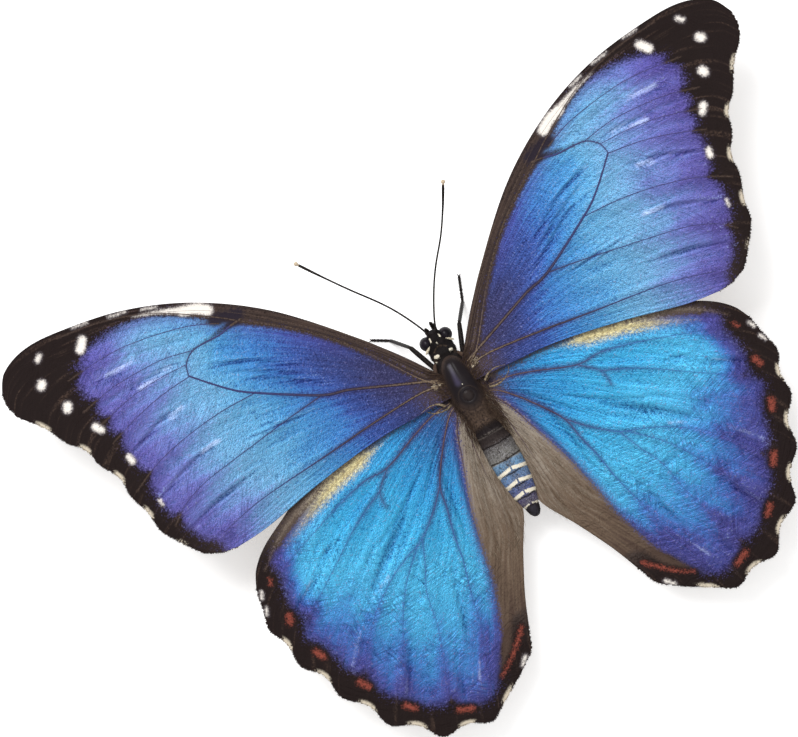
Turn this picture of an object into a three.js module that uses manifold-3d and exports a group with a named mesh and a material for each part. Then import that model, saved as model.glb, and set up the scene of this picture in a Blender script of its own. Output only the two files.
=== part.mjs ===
// A life-size blue morpho butterfly at rest on four walking legs, with its wings held open.
// Millimetres. +Y runs forward along the body, +X to the butterfly's right and +Z up. The feet are at
// z = 0.
// Every paired piece is drawn for the right side. The left side is its mirror image, in a pose of its own.

import * as THREE from "three";
import { mergeVertices } from "three/addons/utils/BufferGeometryUtils.js";
import Module from "manifold-3d";

const wasm = await Module();
wasm.setup();

// ---------------------------------------------------------------- driving dimensions

const MEMBRANE = 0.5; // thickness of a wing
const COSTA = 0.9; // thickness of its stiff leading edge
const COSTA_SHARE = 0.06; // how much of the chord that edge takes
const PLEAT = 0.12; // how far the veins stand above the cells between them
const WING_STEP = 1.0; // the hindwing lies this far under the forewing
const PART_GAP = 0.1; // left between two pieces that meet

const HINGE_X = 2.6; // half the distance between the wing hinges
const HINGE_Z = 9.6;
const DIHEDRAL = THREE.MathUtils.degToRad(9); // how far the wings rise from the level
const WING_REACH = 58; // hinge to forewing tip, across the body
const TIP_DROOP = 3.2; // how far the tips bend down from that slope
const FRONT_REACH = 35; // the same along the body, for the leading edge
const FRONT_DROOP = 1.4;
const REAR_REACH = 45; // and for the rear of the hindwings
const REAR_DROOP = 2.6;

const BODY_SIDES = 16;
const LIMB_SIDES = 6;
const UP = new THREE.Vector3(0, 0, 1);

// ---------------------------------------------------------------- colours

const finish = (color, roughness) => new THREE.MeshStandardMaterial({ color, roughness, metalness: 0 });
const wingBlue = finish(0x2f7fd0, 0.4);
const bodyBrown = finish(0x2a2220, 0.8);
const abdomenGrey = finish(0x3c3f48, 0.75);
const eyeBlack = finish(0x0d0a0e, 0.15);
const limbBlack = finish(0x14110f, 0.6);

// ---------------------------------------------------------------- solids

// A closed geometry as a solid, with its shared corners merged.
function solidOf(geometry) {
  const bare = geometry.clone();
  bare.deleteAttribute("normal");
  bare.deleteAttribute("uv");
  const merged = mergeVertices(bare, 1e-4);
  return new wasm.Manifold(
    new wasm.Mesh({
      numProp: 3,
      vertProperties: merged.attributes.position.array,
      triVerts: new Uint32Array(merged.index.array),
    }),
  );
}

function geometryOf(solid) {
  const { vertProperties, triVerts } = solid.getMesh();
  const geometry = new THREE.BufferGeometry();
  geometry.setAttribute("position", new THREE.BufferAttribute(vertProperties, 3));
  geometry.setIndex(new THREE.BufferAttribute(triVerts, 1));
  return geometry;
}

// The geometry with each of these solids cut away from it.
const cutBy = (geometry, ...cutters) =>
  geometryOf(cutters.reduce((solid, cutter) => solid.subtract(cutter), solidOf(geometry)));

// Moves every corner of a geometry to where place(corner) says.
function reshape(geometry, place) {
  const position = geometry.attributes.position;
  const corner = new THREE.Vector3();
  for (let i = 0; i < position.count; i++) {
    const moved = place(corner.fromBufferAttribute(position, i));
    position.setXYZ(i, moved.x, moved.y, moved.z);
  }
  return geometry;
}

// A closed round bar along +Y, one unit in radius, with a ring of corners at each whole y from 0 to rings.
function roundBar(rings, sides) {
  const wall = Array.from({ length: rings + 1 }, (_, i) => new THREE.Vector2(1, i));
  return new THREE.LatheGeometry([new THREE.Vector2(0, 0), ...wall, new THREE.Vector2(0, rings)], sides);
}

// ---------------------------------------------------------------- the body, in lengths from rear to front

// A station is [y, height of its centre, half width, half height], and the form runs smoothly between them.
// lean says how far to the right each y lies. grow makes the same length that much bigger all round, to cut
// its neighbours with.
function bodyLength({ stations, rings, lean = () => 0 }, grow = 0) {
  const curveOfColumn = (k) => new THREE.SplineCurve(stations.map((s) => new THREE.Vector2(s[0], s[k])));
  const curves = [1, 2, 3].map(curveOfColumn);
  return reshape(roundBar(rings, BODY_SIDES), (corner) => {
    const i = Math.round(corner.y);
    const [centre, width, height] = curves.map((curve) => curve.getPoint(i / rings));
    const end = i === 0 ? -grow : i === rings ? grow : 0;
    const across = corner.x * (width.y + grow) + lean(centre.x);
    return new THREE.Vector3(across, centre.x + end, centre.y + corner.z * (height.y + grow));
  });
}

const THORAX = {
  stations: [
    [-4.9, 7.8, 1.9, 1.85],
    [-3.2, 7.9, 2.45, 2.4],
    [-1.0, 8.0, 2.75, 2.75],
    [1.5, 8.05, 2.85, 2.85],
    [3.8, 8.05, 2.6, 2.5],
    [5.5, 8.0, 2.0, 1.75],
  ],
  rings: 8,
};
const COLLAR = {
  stations: [
    [5.6, 8.0, 2.0, 1.75],
    [6.25, 8.02, 2.15, 1.85],
    [6.9, 8.05, 1.8, 1.5],
  ],
  rings: 4,
};
const HEAD = {
  stations: [
    [7.0, 8.05, 1.6, 1.4],
    [7.6, 8.1, 1.65, 1.6],
    [8.5, 8.1, 1.6, 1.6],
    [9.4, 8.0, 1.25, 1.3],
    [9.95, 7.95, 0.75, 0.85],
  ],
  rings: 6,
};

// The abdomen's rings swell a little between narrow joints and taper to the tail. Joint: [y, half width].
const ABDOMEN_JOINTS = [
  [-21.8, 0.35],
  [-21.1, 0.8],
  [-19.7, 1.3],
  [-17.9, 1.8],
  [-15.9, 2.2],
  [-13.9, 2.4],
  [-11.8, 2.5],
  [-9.7, 2.5],
  [-7.8, 2.3],
  [-6.1, 2.05],
  [-5.0, 1.8],
];
const ABDOMEN_FRONT_Z = 7.75;
const ABDOMEN_SLOPE = 0.035; // it sinks this much for each millimetre towards the tail
const ABDOMEN_FLATNESS = 0.97; // its height over its width
const RING_SWELL = 0.07;
const ABDOMEN_LEAN = 0.38; // it lies this far to the right of the body's line
const LEAN_LENGTH = 5; // and has come over by this distance

const [abdomenFront] = ABDOMEN_JOINTS[ABDOMEN_JOINTS.length - 1];
const abdomenStation = (y, half) => {
  return [y, ABDOMEN_FRONT_Z + (y - abdomenFront) * ABDOMEN_SLOPE, half, half * ABDOMEN_FLATNESS];
};
const abdomenStations = ABDOMEN_JOINTS.flatMap(([y, half], i) => {
  if (i === 0) return [abdomenStation(y, half)];
  const [rearY, rearHalf] = ABDOMEN_JOINTS[i - 1];
  return [abdomenStation((rearY + y) / 2, (rearHalf + half) / 2 + RING_SWELL), abdomenStation(y, half)];
});
const abdomenLean = (y) => ABDOMEN_LEAN * THREE.MathUtils.smoothstep(abdomenFront - y, -1, LEAN_LENGTH);
const ABDOMEN = { stations: abdomenStations, rings: abdomenStations.length - 1, lean: abdomenLean };

const cutterOf = (length) => solidOf(bodyLength(length, PART_GAP));
const thoraxCutter = cutterOf(THORAX);
const collarCutter = cutterOf(COLLAR);
const headCutter = cutterOf(HEAD);
const abdomenCutter = cutterOf(ABDOMEN);

// ---------------------------------------------------------------- wings

// A wing is a patch between four edges: the costa in front, the inner margin behind, the hinge and the outer
// margin. The costa and the inner margin run from the hinge outwards. The outer margin runs from the rear
// corner to the front one through its lobes, the vein ends. Each bay between two lobes is hollowed by its own
// depth, and a negative depth swells it. The steps are how finely the patch is divided.

const FOREWING = {
  hinge: [3, 2.8],
  costa: [
    [1.4, 3.4],
    [5.3, 8.0],
    [10.3, 13.9],
    [20.3, 23.4],
    [30.3, 29.6],
    [40.3, 33.1],
    [50.3, 34.4],
    [56.0, 34.2],
    [60.0, 32.4],
    [61.7, 29.6],
  ],
  inner: [
    [1.4, 0.4],
    [7.8, 0],
    [15.3, -0.6],
    [25.3, -2.6],
    [34.5, -5.0],
    [40.0, -5.8],
  ],
  lobes: [
    [40.0, -5.8],
    [45.0, -4.5],
    [49.3, 1.1],
    [51.0, 7.6],
    [53.1, 13.9],
    [56.2, 19.1],
    [61.0, 25.5],
    [61.7, 29.6],
  ],
  bays: [-0.35, -0.1, 0.4, 0.8, 0.7, 0.45, -0.35],
  stepsOut: 10,
  stepsPerBay: 4,
  drop: 0,
};

const HINDWING = {
  hinge: [3, -1],
  costa: [
    [1.4, -0.4],
    [4, 1.2],
    [9, 2.6],
    [17, 2.3],
    [26, 0],
    [33, -3.7],
    [37.8, -6.2],
    [40.6, -8.6],
    [42.0, -11.1],
  ],
  inner: [
    [1.4, -3.6],
    [2.1, -6.5],
    [2.1, -10],
    [2.1, -14],
    [1.8, -17.6],
    [1.9, -20.5],
    [4.9, -25.8],
    [7.7, -31.3],
    [9.5, -35.7],
  ],
  lobes: [
    [9.5, -35.7],
    [13.8, -41.2],
    [21.0, -45.6],
    [28.6, -44.0],
    [34.8, -38.5],
    [38.9, -31.4],
    [42.0, -24.2],
    [43.4, -17.4],
    [42.0, -11.1],
  ],
  bays: [-0.9, 0.1, 1.0, 1.1, 1.1, 1.1, 0.8, 0.1],
  stepsOut: 8,
  stepsPerBay: 4,
  drop: WING_STEP,
};

const curveThrough = (points) => new THREE.SplineCurve(points.map((p) => new THREE.Vector2(...p)));
const TIP_CROWDING = 1.3; // the steps out along a wing come closer together towards its margin
const wave = (turns) => 0.5 - 0.5 * Math.cos(2 * Math.PI * turns); // 0 at each whole turn and 1 halfway

// The outer margin at v, from 0 at the rear corner to 1 at the front one. Bays take equal shares of v.
function marginPoint({ lobes, bays }, v) {
  const bay = Math.min(Math.floor(v * bays.length), bays.length - 1);
  const t = v * bays.length - bay;
  const start = new THREE.Vector2(...lobes[bay]);
  const end = new THREE.Vector2(...lobes[bay + 1]);
  const inward = new THREE.Vector2(start.y - end.y, end.x - start.x).normalize();
  return start.lerp(end, t).addScaledVector(inward, bays[bay] * wave(t));
}

// The height of the forewing's middle surface over any point of the plan.
function wingHeight({ x, y }) {
  const out = Math.max(0, x - HINGE_X);
  const lengthwise = y > 0 ? FRONT_DROOP * (y / FRONT_REACH) ** 2 : REAR_DROOP * (y / REAR_REACH) ** 2;
  return HINGE_Z + out * Math.tan(DIHEDRAL) - TIP_DROOP * (out / WING_REACH) ** 2 - lengthwise;
}

// swing turns the wing forward about its hinge, in degrees, and shift then slides it over the plan.
function wingGeometry(wing, { swing, shift }) {
  const costa = curveThrough(wing.costa);
  const inner = curveThrough(wing.inner);
  const hinge = new THREE.Vector2(...wing.hinge);
  const offset = new THREE.Vector2(...shift);
  const mix = (rear, front, v) => rear.clone().lerp(front, v);

  const planPoint = (u, v) => {
    const alongEdges = mix(inner.getPointAt(u), costa.getPointAt(u), v);
    const acrossEnds = mix(mix(inner.getPoint(0), costa.getPoint(0), v), marginPoint(wing, v), u);
    const atCorners = mix(
      mix(inner.getPoint(0), costa.getPoint(0), v),
      mix(marginPoint(wing, 0), marginPoint(wing, 1), v),
      u,
    );
    const point = alongEdges.add(acrossEnds).sub(atCorners);
    return point.rotateAround(hinge, THREE.MathUtils.degToRad(swing)).add(offset);
  };

  const slab = new THREE.BoxGeometry(1, 1, 1, wing.stepsOut, wing.stepsPerBay * wing.bays.length, 1);
  reshape(slab, (corner) => {
    const u = 1 - (0.5 - corner.x) ** TIP_CROWDING;
    const v = corner.y + 0.5;
    const plan = planPoint(u, v);
    const edge = Math.exp(-(((1 - v) / COSTA_SHARE) ** 2)) * (1 - u);
    const thickness = MEMBRANE + (COSTA - MEMBRANE) * edge;
    const pleat = PLEAT * u * (0.5 - wave(v * wing.bays.length));
    return new THREE.Vector3(plan.x, plan.y, wingHeight(plan) - wing.drop + pleat + corner.z * thickness);
  });
  return cutBy(slab, thoraxCutter, collarCutter, abdomenCutter);
}

// ---------------------------------------------------------------- limbs, feelers and mouthparts

// A round limb along a path, with its radius given at even steps from the root to the tip. Its underside is
// flattened where it stands on the floor.
function limb(path, { radii, rings }) {
  const radiusAt = (t) => {
    const i = Math.min(Math.floor(t * (radii.length - 1)), radii.length - 2);
    return THREE.MathUtils.lerp(radii[i], radii[i + 1], t * (radii.length - 1) - i);
  };
  return reshape(roundBar(rings, LIMB_SIDES), (corner) => {
    const t = corner.y / rings;
    const tangent = path.getTangentAt(t);
    const sideways = tangent.clone().cross(UP).normalize();
    const upward = sideways.clone().cross(tangent);
    const point = path.getPointAt(t);
    point.addScaledVector(sideways, corner.x * radiusAt(t)).addScaledVector(upward, corner.z * radiusAt(t));
    point.z = Math.max(point.z, 0);
    return point;
  });
}

const curveOf = (points, tension) =>
  new THREE.CatmullRomCurve3(points.map((p) => new THREE.Vector3(...p)), false, "catmullrom", tension);

const SUPPLE = 0.5; // curve tension of a feeler, which bends evenly
const JOINTED = 0.15; // and of a leg, which runs nearly straight from joint to joint

const LEG = { radii: [0.42, 0.42, 0.38, 0.36, 0.38, 0.34, 0.3, 0.3, 0.28, 0.26], rings: 18 };
const FORELEG = { radii: [0.34, 0.34, 0.3, 0.3, 0.26], rings: 8 };
const ANTENNA = { radii: [0.27, 0.25, 0.25, 0.25, 0.25, 0.25, 0.26, 0.28, 0.32, 0.3], rings: 16 };
const PALP = { radii: [0.4, 0.44, 0.42, 0.32, 0.2], rings: 6 };

// Where each one runs. The middle of a tarsus is at FOOT_Z, so that it stands on its flattened underside.
const FOOT_Z = 0.2;
const FORELEG_JOINTS = [
  [0.75, 4.6, 6.2],
  [1.15, 6.3, 4.9],
  [1.0, 5.0, 3.6],
];
const HIND_LEG_JOINTS = [
  [1.1, -2.0, 6.2],
  [6.4, -3.9, 6.4],
  [9.4, -8.2, FOOT_Z],
  [11.2, -12.0, FOOT_Z],
];
const PALP_JOINTS = [
  [0.5, 9.1, 7.3],
  [0.58, 10.2, 7.3],
  [0.5, 11.1, 8.2],
];

const EYE_CENTRE = [1.7, 8.4, 8.15];
const EYE_RADII = [1.0, 1.15, 1.3];
const eyeball = (grow = 0) =>
  new THREE.SphereGeometry(1, 12, 8).scale(...EYE_RADII.map((r) => r + grow)).translate(...EYE_CENTRE);
const eyeCutter = solidOf(eyeball(PART_GAP));

const TONGUE_CENTRE = [0, 9.15, 5.75];
const TONGUE_COIL_RADIUS = 0.62;
const TONGUE_RADIUS = 0.26;

// ---------------------------------------------------------------- each side's own pose

const SIDES = {
  right: {
    mirror: 1,
    forewing: { swing: 0, shift: [0, 0] },
    hindwing: { swing: 0, shift: [0, 0] },
    middleLeg: [
      [1.9, 3.2, 6.6],
      [4.2, 8.9, 6.2],
      [6.2, 11.4, FOOT_Z],
      [7.6, 15.0, FOOT_Z],
    ],
    antenna: [
      [0.45, 9.0, 8.6],
      [1.35, 11.4, 10.4],
      [3.3, 15.0, 12.0],
      [5.3, 18.0, 13.2],
      [8.1, 21.5, 14.4],
      [10.4, 25.0, 15.4],
      [12.4, 28.5, 16.2],
    ],
  },
  left: {
    mirror: -1,
    forewing: { swing: 3.5, shift: [0, -0.5] },
    hindwing: { swing: 0, shift: [-0.8, 0.4] },
    middleLeg: [
      [1.7, 3.2, 6.6],
      [3.9, 9.2, 6.2],
      [6.0, 11.6, FOOT_Z],
      [8.4, 13.0, FOOT_Z],
    ],
    antenna: [
      [0.45, 9.0, 8.6],
      [1.3, 11.3, 10.4],
      [2.9, 14.5, 12.0],
      [4.7, 17.3, 13.2],
      [7.6, 21.1, 14.4],
      [10.4, 25.0, 15.4],
      [12.8, 28.5, 16.2],
    ],
  },
};

// ---------------------------------------------------------------- assembly

const butterfly = new THREE.Group();

function add(parent, name, geometry, material) {
  const mesh = new THREE.Mesh(geometry, material);
  mesh.name = name;
  parent.add(mesh);
}

add(butterfly, "thorax", bodyLength(THORAX), bodyBrown);
add(butterfly, "collar", bodyLength(COLLAR), bodyBrown);
add(butterfly, "head", bodyLength(HEAD), bodyBrown);
add(butterfly, "abdomen", bodyLength(ABDOMEN), abdomenGrey);

const tongue = new THREE.TorusGeometry(TONGUE_COIL_RADIUS, TONGUE_RADIUS, 6, 14);
tongue.rotateY(Math.PI / 2).translate(...TONGUE_CENTRE);
add(butterfly, "proboscis", cutBy(tongue, headCutter), limbBlack);

for (const [side, pose] of Object.entries(SIDES)) {
  const half = new THREE.Group();
  half.scale.x = pose.mirror;
  butterfly.add(half);

  add(half, `forewing_${side}`, wingGeometry(FOREWING, pose.forewing), wingBlue);
  add(half, `hindwing_${side}`, wingGeometry(HINDWING, pose.hindwing), wingBlue);
  add(half, `eye_${side}`, cutBy(eyeball(), headCutter, collarCutter), eyeBlack);

  const onHead = {
    antenna: limb(curveOf(pose.antenna, SUPPLE), ANTENNA),
    palp: limb(curveOf(PALP_JOINTS, SUPPLE), PALP),
  };
  for (const [name, geometry] of Object.entries(onHead)) {
    add(half, `${name}_${side}`, cutBy(geometry, headCutter, eyeCutter), limbBlack);
  }

  const onThorax = {
    foreleg: limb(curveOf(FORELEG_JOINTS, SUPPLE), FORELEG),
    middle_leg: limb(curveOf(pose.middleLeg, JOINTED), LEG),
    hind_leg: limb(curveOf(HIND_LEG_JOINTS, JOINTED), LEG),
  };
  for (const [name, geometry] of Object.entries(onThorax)) {
    add(half, `${name}_${side}`, cutBy(geometry, thoraxCutter, collarCutter), limbBlack);
  }
}

// The origin is the point on the floor under the middle of the whole spread.
const spread = new THREE.Box3().setFromObject(butterfly);
const middle = spread.getCenter(new THREE.Vector3());
butterfly.position.set(-middle.x, -middle.y, -spread.min.z);

export default butterfly;
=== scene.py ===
# A life-size blue morpho butterfly standing on its four walking legs with its wings held open.
# Sizes are in millimetres, in the butterfly's own frame: +Y is forward, +X the butterfly's right, +Z up, and
# the feet stand at z = 0. fit() sets each piece in its place, in metres.
import math

import bmesh
import bpy
import numpy as np
from mathutils import Matrix, Vector, noise


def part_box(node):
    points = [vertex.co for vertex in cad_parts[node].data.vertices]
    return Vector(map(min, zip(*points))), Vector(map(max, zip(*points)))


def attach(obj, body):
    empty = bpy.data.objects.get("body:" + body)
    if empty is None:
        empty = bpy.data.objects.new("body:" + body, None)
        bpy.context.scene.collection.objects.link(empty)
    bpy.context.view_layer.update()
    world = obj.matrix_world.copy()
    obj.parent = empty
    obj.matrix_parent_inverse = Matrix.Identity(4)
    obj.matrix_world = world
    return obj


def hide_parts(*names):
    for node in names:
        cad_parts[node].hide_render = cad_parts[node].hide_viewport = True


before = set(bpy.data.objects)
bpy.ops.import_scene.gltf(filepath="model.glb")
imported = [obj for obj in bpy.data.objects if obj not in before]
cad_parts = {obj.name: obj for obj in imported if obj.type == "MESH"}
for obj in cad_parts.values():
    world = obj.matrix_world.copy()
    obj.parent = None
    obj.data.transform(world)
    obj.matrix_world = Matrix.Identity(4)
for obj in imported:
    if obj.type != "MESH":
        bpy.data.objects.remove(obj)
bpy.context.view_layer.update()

# ---------------------------------------------------------------- the forewings
# A wing is two thin membranes round a fan of hollow veins, covered on both faces by rows of tiny scales. It
# is hinged to the side of the thorax. One forewing is drawn, the right one, and the left one is its mirror
# image, held a little further forward.

MEMBRANE = 0.3  # thickness of a finished wing
COSTA = 0.62  # and of its leading edge
COSTA_SHARE = 0.05  # how much of the wing that stiff edge takes
LOBE_ROUNDING = 0.014  # how far along the margin a lobe's corner is rounded off, as a share of the margin
WING_STEPS = (208, 216)  # how finely a wing is divided, outwards and across
CROWDING = 1.15  # how much closer together its rows lie towards the outer margin
CHORD = 42.0  # how wide a wing is across its veins
HINGE_X, HINGE_Z = 2.6, 9.6  # where the wings are hinged
DIHEDRAL = math.radians(9)
WING_REACH, TIP_DROOP = 58, 3.2  # the wing has bent down by the droop at this distance
FRONT_REACH, FRONT_DROOP = 35, 1.4
REAR_REACH, REAR_DROOP = 45, 2.6
MIRROR = {"right": 1, "left": -1}

IN_METRES = 0.001
THORAX_FRONT = 5.5  # the front end of the thorax, along the body
thorax_low, thorax_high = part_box("thorax")
BODY_PLACE = np.array([(thorax_low[0] + thorax_high[0]) / 2, thorax_high[1] - THORAX_FRONT * IN_METRES, 0])


def in_place(points, mirror=1):
    """Places in the butterfly's own millimetres, as places in the frame."""
    return points * np.array([mirror, 1, 1]) * IN_METRES + BODY_PLACE


def unit(ways):
    return ways / np.linalg.norm(ways, axis=-1, keepdims=True)


def read(items, name, per=1, kind=np.int32):
    """One property of all the vertices, corners or faces of a mesh."""
    values = np.empty(per * len(items), kind)
    items.foreach_get(name, values)
    return values


def sampled(at, held_at, rows):
    """Rows of numbers held at some places, read off at other places."""
    return np.column_stack([np.interp(at, held_at, column) for column in rows.T])


def evenly(points, count):
    """That many places an even distance apart along a line of straight steps."""
    run = np.concatenate([[0], np.cumsum(np.linalg.norm(np.diff(points, axis=0), axis=1))])
    return sampled(np.linspace(0, run[-1], count), run, points)


def smooth_line(points, count):
    """That many places an even distance apart along a smooth line through the points."""
    held = np.array(points, float)
    padded = np.vstack([held[:1], held, held[-1:]])
    t = np.linspace(0, len(held) - 1 - 1e-9, 40 * len(held))
    i = t.astype(int)
    f = (t - i)[:, None]
    a, b, c, d = (padded[i + k] for k in range(4))
    return evenly(b + 0.5 * f * (c - a + f * (2 * a - 5 * b + 4 * c - d + f * (3 * (b - c) + d - a))), count)


def from_line(line, plan):
    """How far each place on the plan is from a line, on which side (+1 is its left), and how far along it."""
    best, side, along = np.full(len(plan), 1e9), np.ones(len(plan)), np.zeros(len(plan))
    for k, (start, end) in enumerate(zip(line[:-1], line[1:])):
        step, away = end - start, plan - start
        t = np.clip(away @ step / (step @ step), 0, 1)
        gap = np.hypot(away[:, 0] - t * step[0], away[:, 1] - t * step[1])
        nearer = gap < best
        best[nearer] = gap[nearer]
        side[nearer] = np.sign(step[0] * away[:, 1] - step[1] * away[:, 0])[nearer]
        along[nearer] = ((k + t) / (len(line) - 1))[nearer]
    return best, side, along


def inside(course, plan):
    """How far each place lies to the right of a smooth course, in millimetres, and below 0 to its left."""
    gap, side, _ = from_line(course, plan)
    return -side * gap


def near_line(line, plan, reach):
    """Which places lie within reach of the line's own box."""
    return np.all((plan > line.min(0) - reach) & (plan < line.max(0) + reach), axis=1)


def ease(value, low, high):
    """0 up to low, 1 from high on, and a smooth step between."""
    t = np.clip((value - low) / (high - low), 0, 1)
    return t * t * (3 - 2 * t)


def hump(value, width):
    """1 where the value is 0, and falling away on both sides."""
    return np.exp(-((value / width) ** 2))


def wave(turns):
    return 0.5 - 0.5 * np.cos(2 * np.pi * turns)


def ripple(places, size, seed):
    """Smooth noise over a plan, from about -1 to 1."""
    return np.array([noise.noise(Vector((x, y, seed))) for x, y in (places / size).tolist()])


FOREWING = {
    "hinge": (3, 2.8),
    "costa": [(1.4, 3.4), (5.3, 8), (10.3, 13.9), (20.3, 23.4), (30.3, 29.6), (40.3, 33.1), (50.3, 34.4),
              (56, 34.2), (60, 32.4), (61.7, 29.6)],
    "inner": [(1.4, 0.4), (7.8, 0), (15.3, -0.6), (25.3, -2.6), (34.5, -5), (40, -5.8)],
    "lobes": [(40, -5.8), (45, -4.5), (49.3, 1.1), (51, 7.6), (53.1, 13.9), (56.2, 19.1), (61, 25.5),
              (61.7, 29.6)],
    # How far the margin is drawn in between one lobe and the next.
    "bays": [-0.35, -0.1, 0.4, 0.8, 0.7, 0.45, -0.35],
    # The veins: the course of each, and its half width at the root and at the end.
    "veins": [
        ([(2, 2.6), (4.8, 4.6), (10.3, 11.6), (15.3, 16.9), (20.3, 20.9), (25.3, 24.1), (28.3, 26.2),
          (35, 30.1), (40, 32), (45, 33.1), (51, 33.6)], 0.26, 0.09),
        ([(25, 24.4), (27, 24.1), (29, 23.6), (31.5, 23.5), (33.6, 23.2), (35.2, 21.9), (35.7, 20.1)],
         0.22, 0.12),
        ([(2.5, 3.4), (5, 4.3), (10.3, 6.2), (15.3, 8), (19.4, 9.1), (28.1, 13.7), (31.4, 16),
          (35.7, 20.1)], 0.32, 0.18),
        ([(28.3, 25.2), (33, 26.9), (40, 28), (45, 28.1), (52, 27.2)], 0.12, 0.07),
        ([(33.6, 23.3), (38.3, 24), (43.3, 23.8), (47.3, 23.3), (52, 22)], 0.11, 0.07),
        ([(35.2, 21.8), (40.3, 21.6), (45.3, 20.8), (51, 19)], 0.1, 0.07),
        ([(35.7, 20), (40.3, 19.3), (45.3, 17.9), (50, 16)], 0.12, 0.07),
        ([(28.1, 13.6), (33.3, 13.3), (38.3, 12.5), (43.3, 11.2), (46.8, 9.8), (50, 8)], 0.13, 0.08),
        ([(19.3, 9), (25.3, 8), (30.3, 7), (35.3, 6), (40.3, 4.9), (44.3, 3.2), (47, 1)], 0.14, 0.08),
        ([(2.8, 2.6), (5, 2.9), (8.3, 2.7), (15.3, 1.8), (20.3, 1), (25.3, 0.3), (30.3, -0.4), (35.3, -1.3),
          (41, -3)], 0.26, 0.08),
        ([(3, 5), (8, 10.8), (14, 16.7), (20, 21.6), (26, 25.9), (31, 28.6), (38, 31.5)], 0.16, 0.08),
        ([(2.6, 4.6), (7, 10.1), (13, 16.4), (20.3, 22.8), (28, 27.7), (33, 30)], 0.15, 0.08),
    ],
    "root_ring": ([(3.4, -0.4), (4.3, 0.3), (5.6, 0.55), (7.1, 0.2)], 0.22, 0.06),
    # Folds in the membrane: the course of each, its half width and its depth.
    "folds": [
        ([(40.5, 16.4), (43.3, 15.6), (48.3, 13.3)], 0.3, 0.12),
        ([(37.6, 9.2), (41.3, 8.3), (46.8, 5.9)], 0.3, 0.12),
        ([(33.3, 2.9), (38.3, 2), (43.3, 0.4), (45.8, -1.2)], 0.45, 0.12),
        ([(36.5, 22.6), (40, 22.6), (44, 22.2)], 0.3, 0.07),
        ([(17, 9.8), (22.5, 13.3), (28, 16.3)], 0.3, 0.1),
        ([(18.5, 11.8), (24, 15.3), (30, 18)], 0.35, 0.1),
        ([(20.5, 14.6), (26, 18), (31.5, 20.2)], 0.3, 0.07),
        ([(21.5, 7.6), (25, 7.6), (29, 8.8)], 0.25, 0.08),
        ([(24.5, 6.6), (28, 7.2), (31, 8.2)], 0.25, 0.07),
        ([(42, 25.9), (45, 25.6), (48, 25.2)], 0.3, 0.06),
    ],
    "front_edge": [(1, 2), (2.6, 3.2), (4.8, 4.9), (10.3, 11.7), (15.3, 16.8), (20.3, 20.8), (24.8, 23.7),
                   (28.3, 25.9), (33, 29), (38, 31), (43, 30.9), (47.3, 29.9), (50, 28.2)],
    "border": [(50, 28.2), (50.9, 26.2), (50.3, 23.3), (49.6, 20), (48.9, 16.6), (48.3, 13.4), (47.5, 10),
               (47.6, 7.5), (47, 4), (45.6, 0.8), (44.2, -2), (42.2, -3.8), (41.4, -6.6)],
    "scallop": 1.2,  # how far the dark border reaches in along a vein
    "creams": [0, 0.75, 0.95, 1, 1, 0.95, 0.3],  # how cream the fringe is in each bay of the margin
    "veined": 0.04,  # how much further out the colours are beside a vein than between two
    # Where the blue stays deep further out than elsewhere, and by how much.
    "young": ([([(9, 7.5), (16, 12.5), (22, 16.5), (28, 20)], 2.4, 3.4),
               ([(15, 14.5), (20, 19), (25, 22)], 2, 1.5), ([(33, 27.6), (42, 28)], 0.5, 0)], 0.13),
    # Pale marks: the course of each, and its half width at either end.
    "pale": [
        ([(29, 27.7), (30.4, 28.6), (32.4, 29.2)], 0.85, 0.75),
        ([(32.6, 29.4), (36, 30.7), (39.5, 31.6)], 0.5, -0.05),
        ([(35.6, 31.4), (37.7, 32)], 0.12, 0.12),
        ([(40, 32.75), (42.6, 33.15)], 0.14, 0.12),
        ([(45.8, 33.8), (48.2, 34)], 0.1, 0.08),
        ([(47.5, 31.8), (48.4, 30.6)], 0.62, 0.7),
        ([(54.3, 32.4), (54.8, 31.9)], 0.38, 0.38),
        ([(55.7, 28.5), (56, 28.2)], 0.64, 0.66),
        ([(53.7, 23.9), (53.9, 23.5)], 0.68, 0.66),
        ([(51.3, 19.3), (50.7, 18.5)], 0.6, 0.5),
        ([(48.8, 13.2), (48.6, 12.4)], 0.44, 0.48),
        ([(47.5, 5.5), (47.4, 4.6)], 0.18, 0.18),
    ],
    # Painted glints: pale highlights painted along ridges and creases.
    "frost": [
        ([(37.5, 22.4), (40, 22.1), (43, 21.6)], 0.35, 0.2),
        ([(38.8, 16.5), (40.6, 15.9)], 0.6, 0.5),
        ([(42.5, 25.9), (46.5, 25.5)], 0.3, 0.2),
        ([(36.2, 9.6), (38.5, 9.2)], 0.4, 0.2),
    ],
    # Eyespots of the underside: the middle and the radius of each.
    "eyespots": [(45.5, 24.6, 1.9), (44, 14.6, 2.7), (41.8, 6.4, 2.2), (47.6, 29.4, 1.2)],
    # Dark clouds: the black patch on the leading edge that runs into the end of the cell.
    "soot": [
        ([(25.2, 25.2), (27.4, 25.8), (28.8, 26)], 0.85, 0.8),
        ([(25.8, 24.4), (27.5, 24.3), (30, 23.8)], 0.6, 0.2),
        ([(30, 23.7), (33.6, 23.3), (35.2, 22)], 0.12, -0.1),
    ],
}


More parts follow.
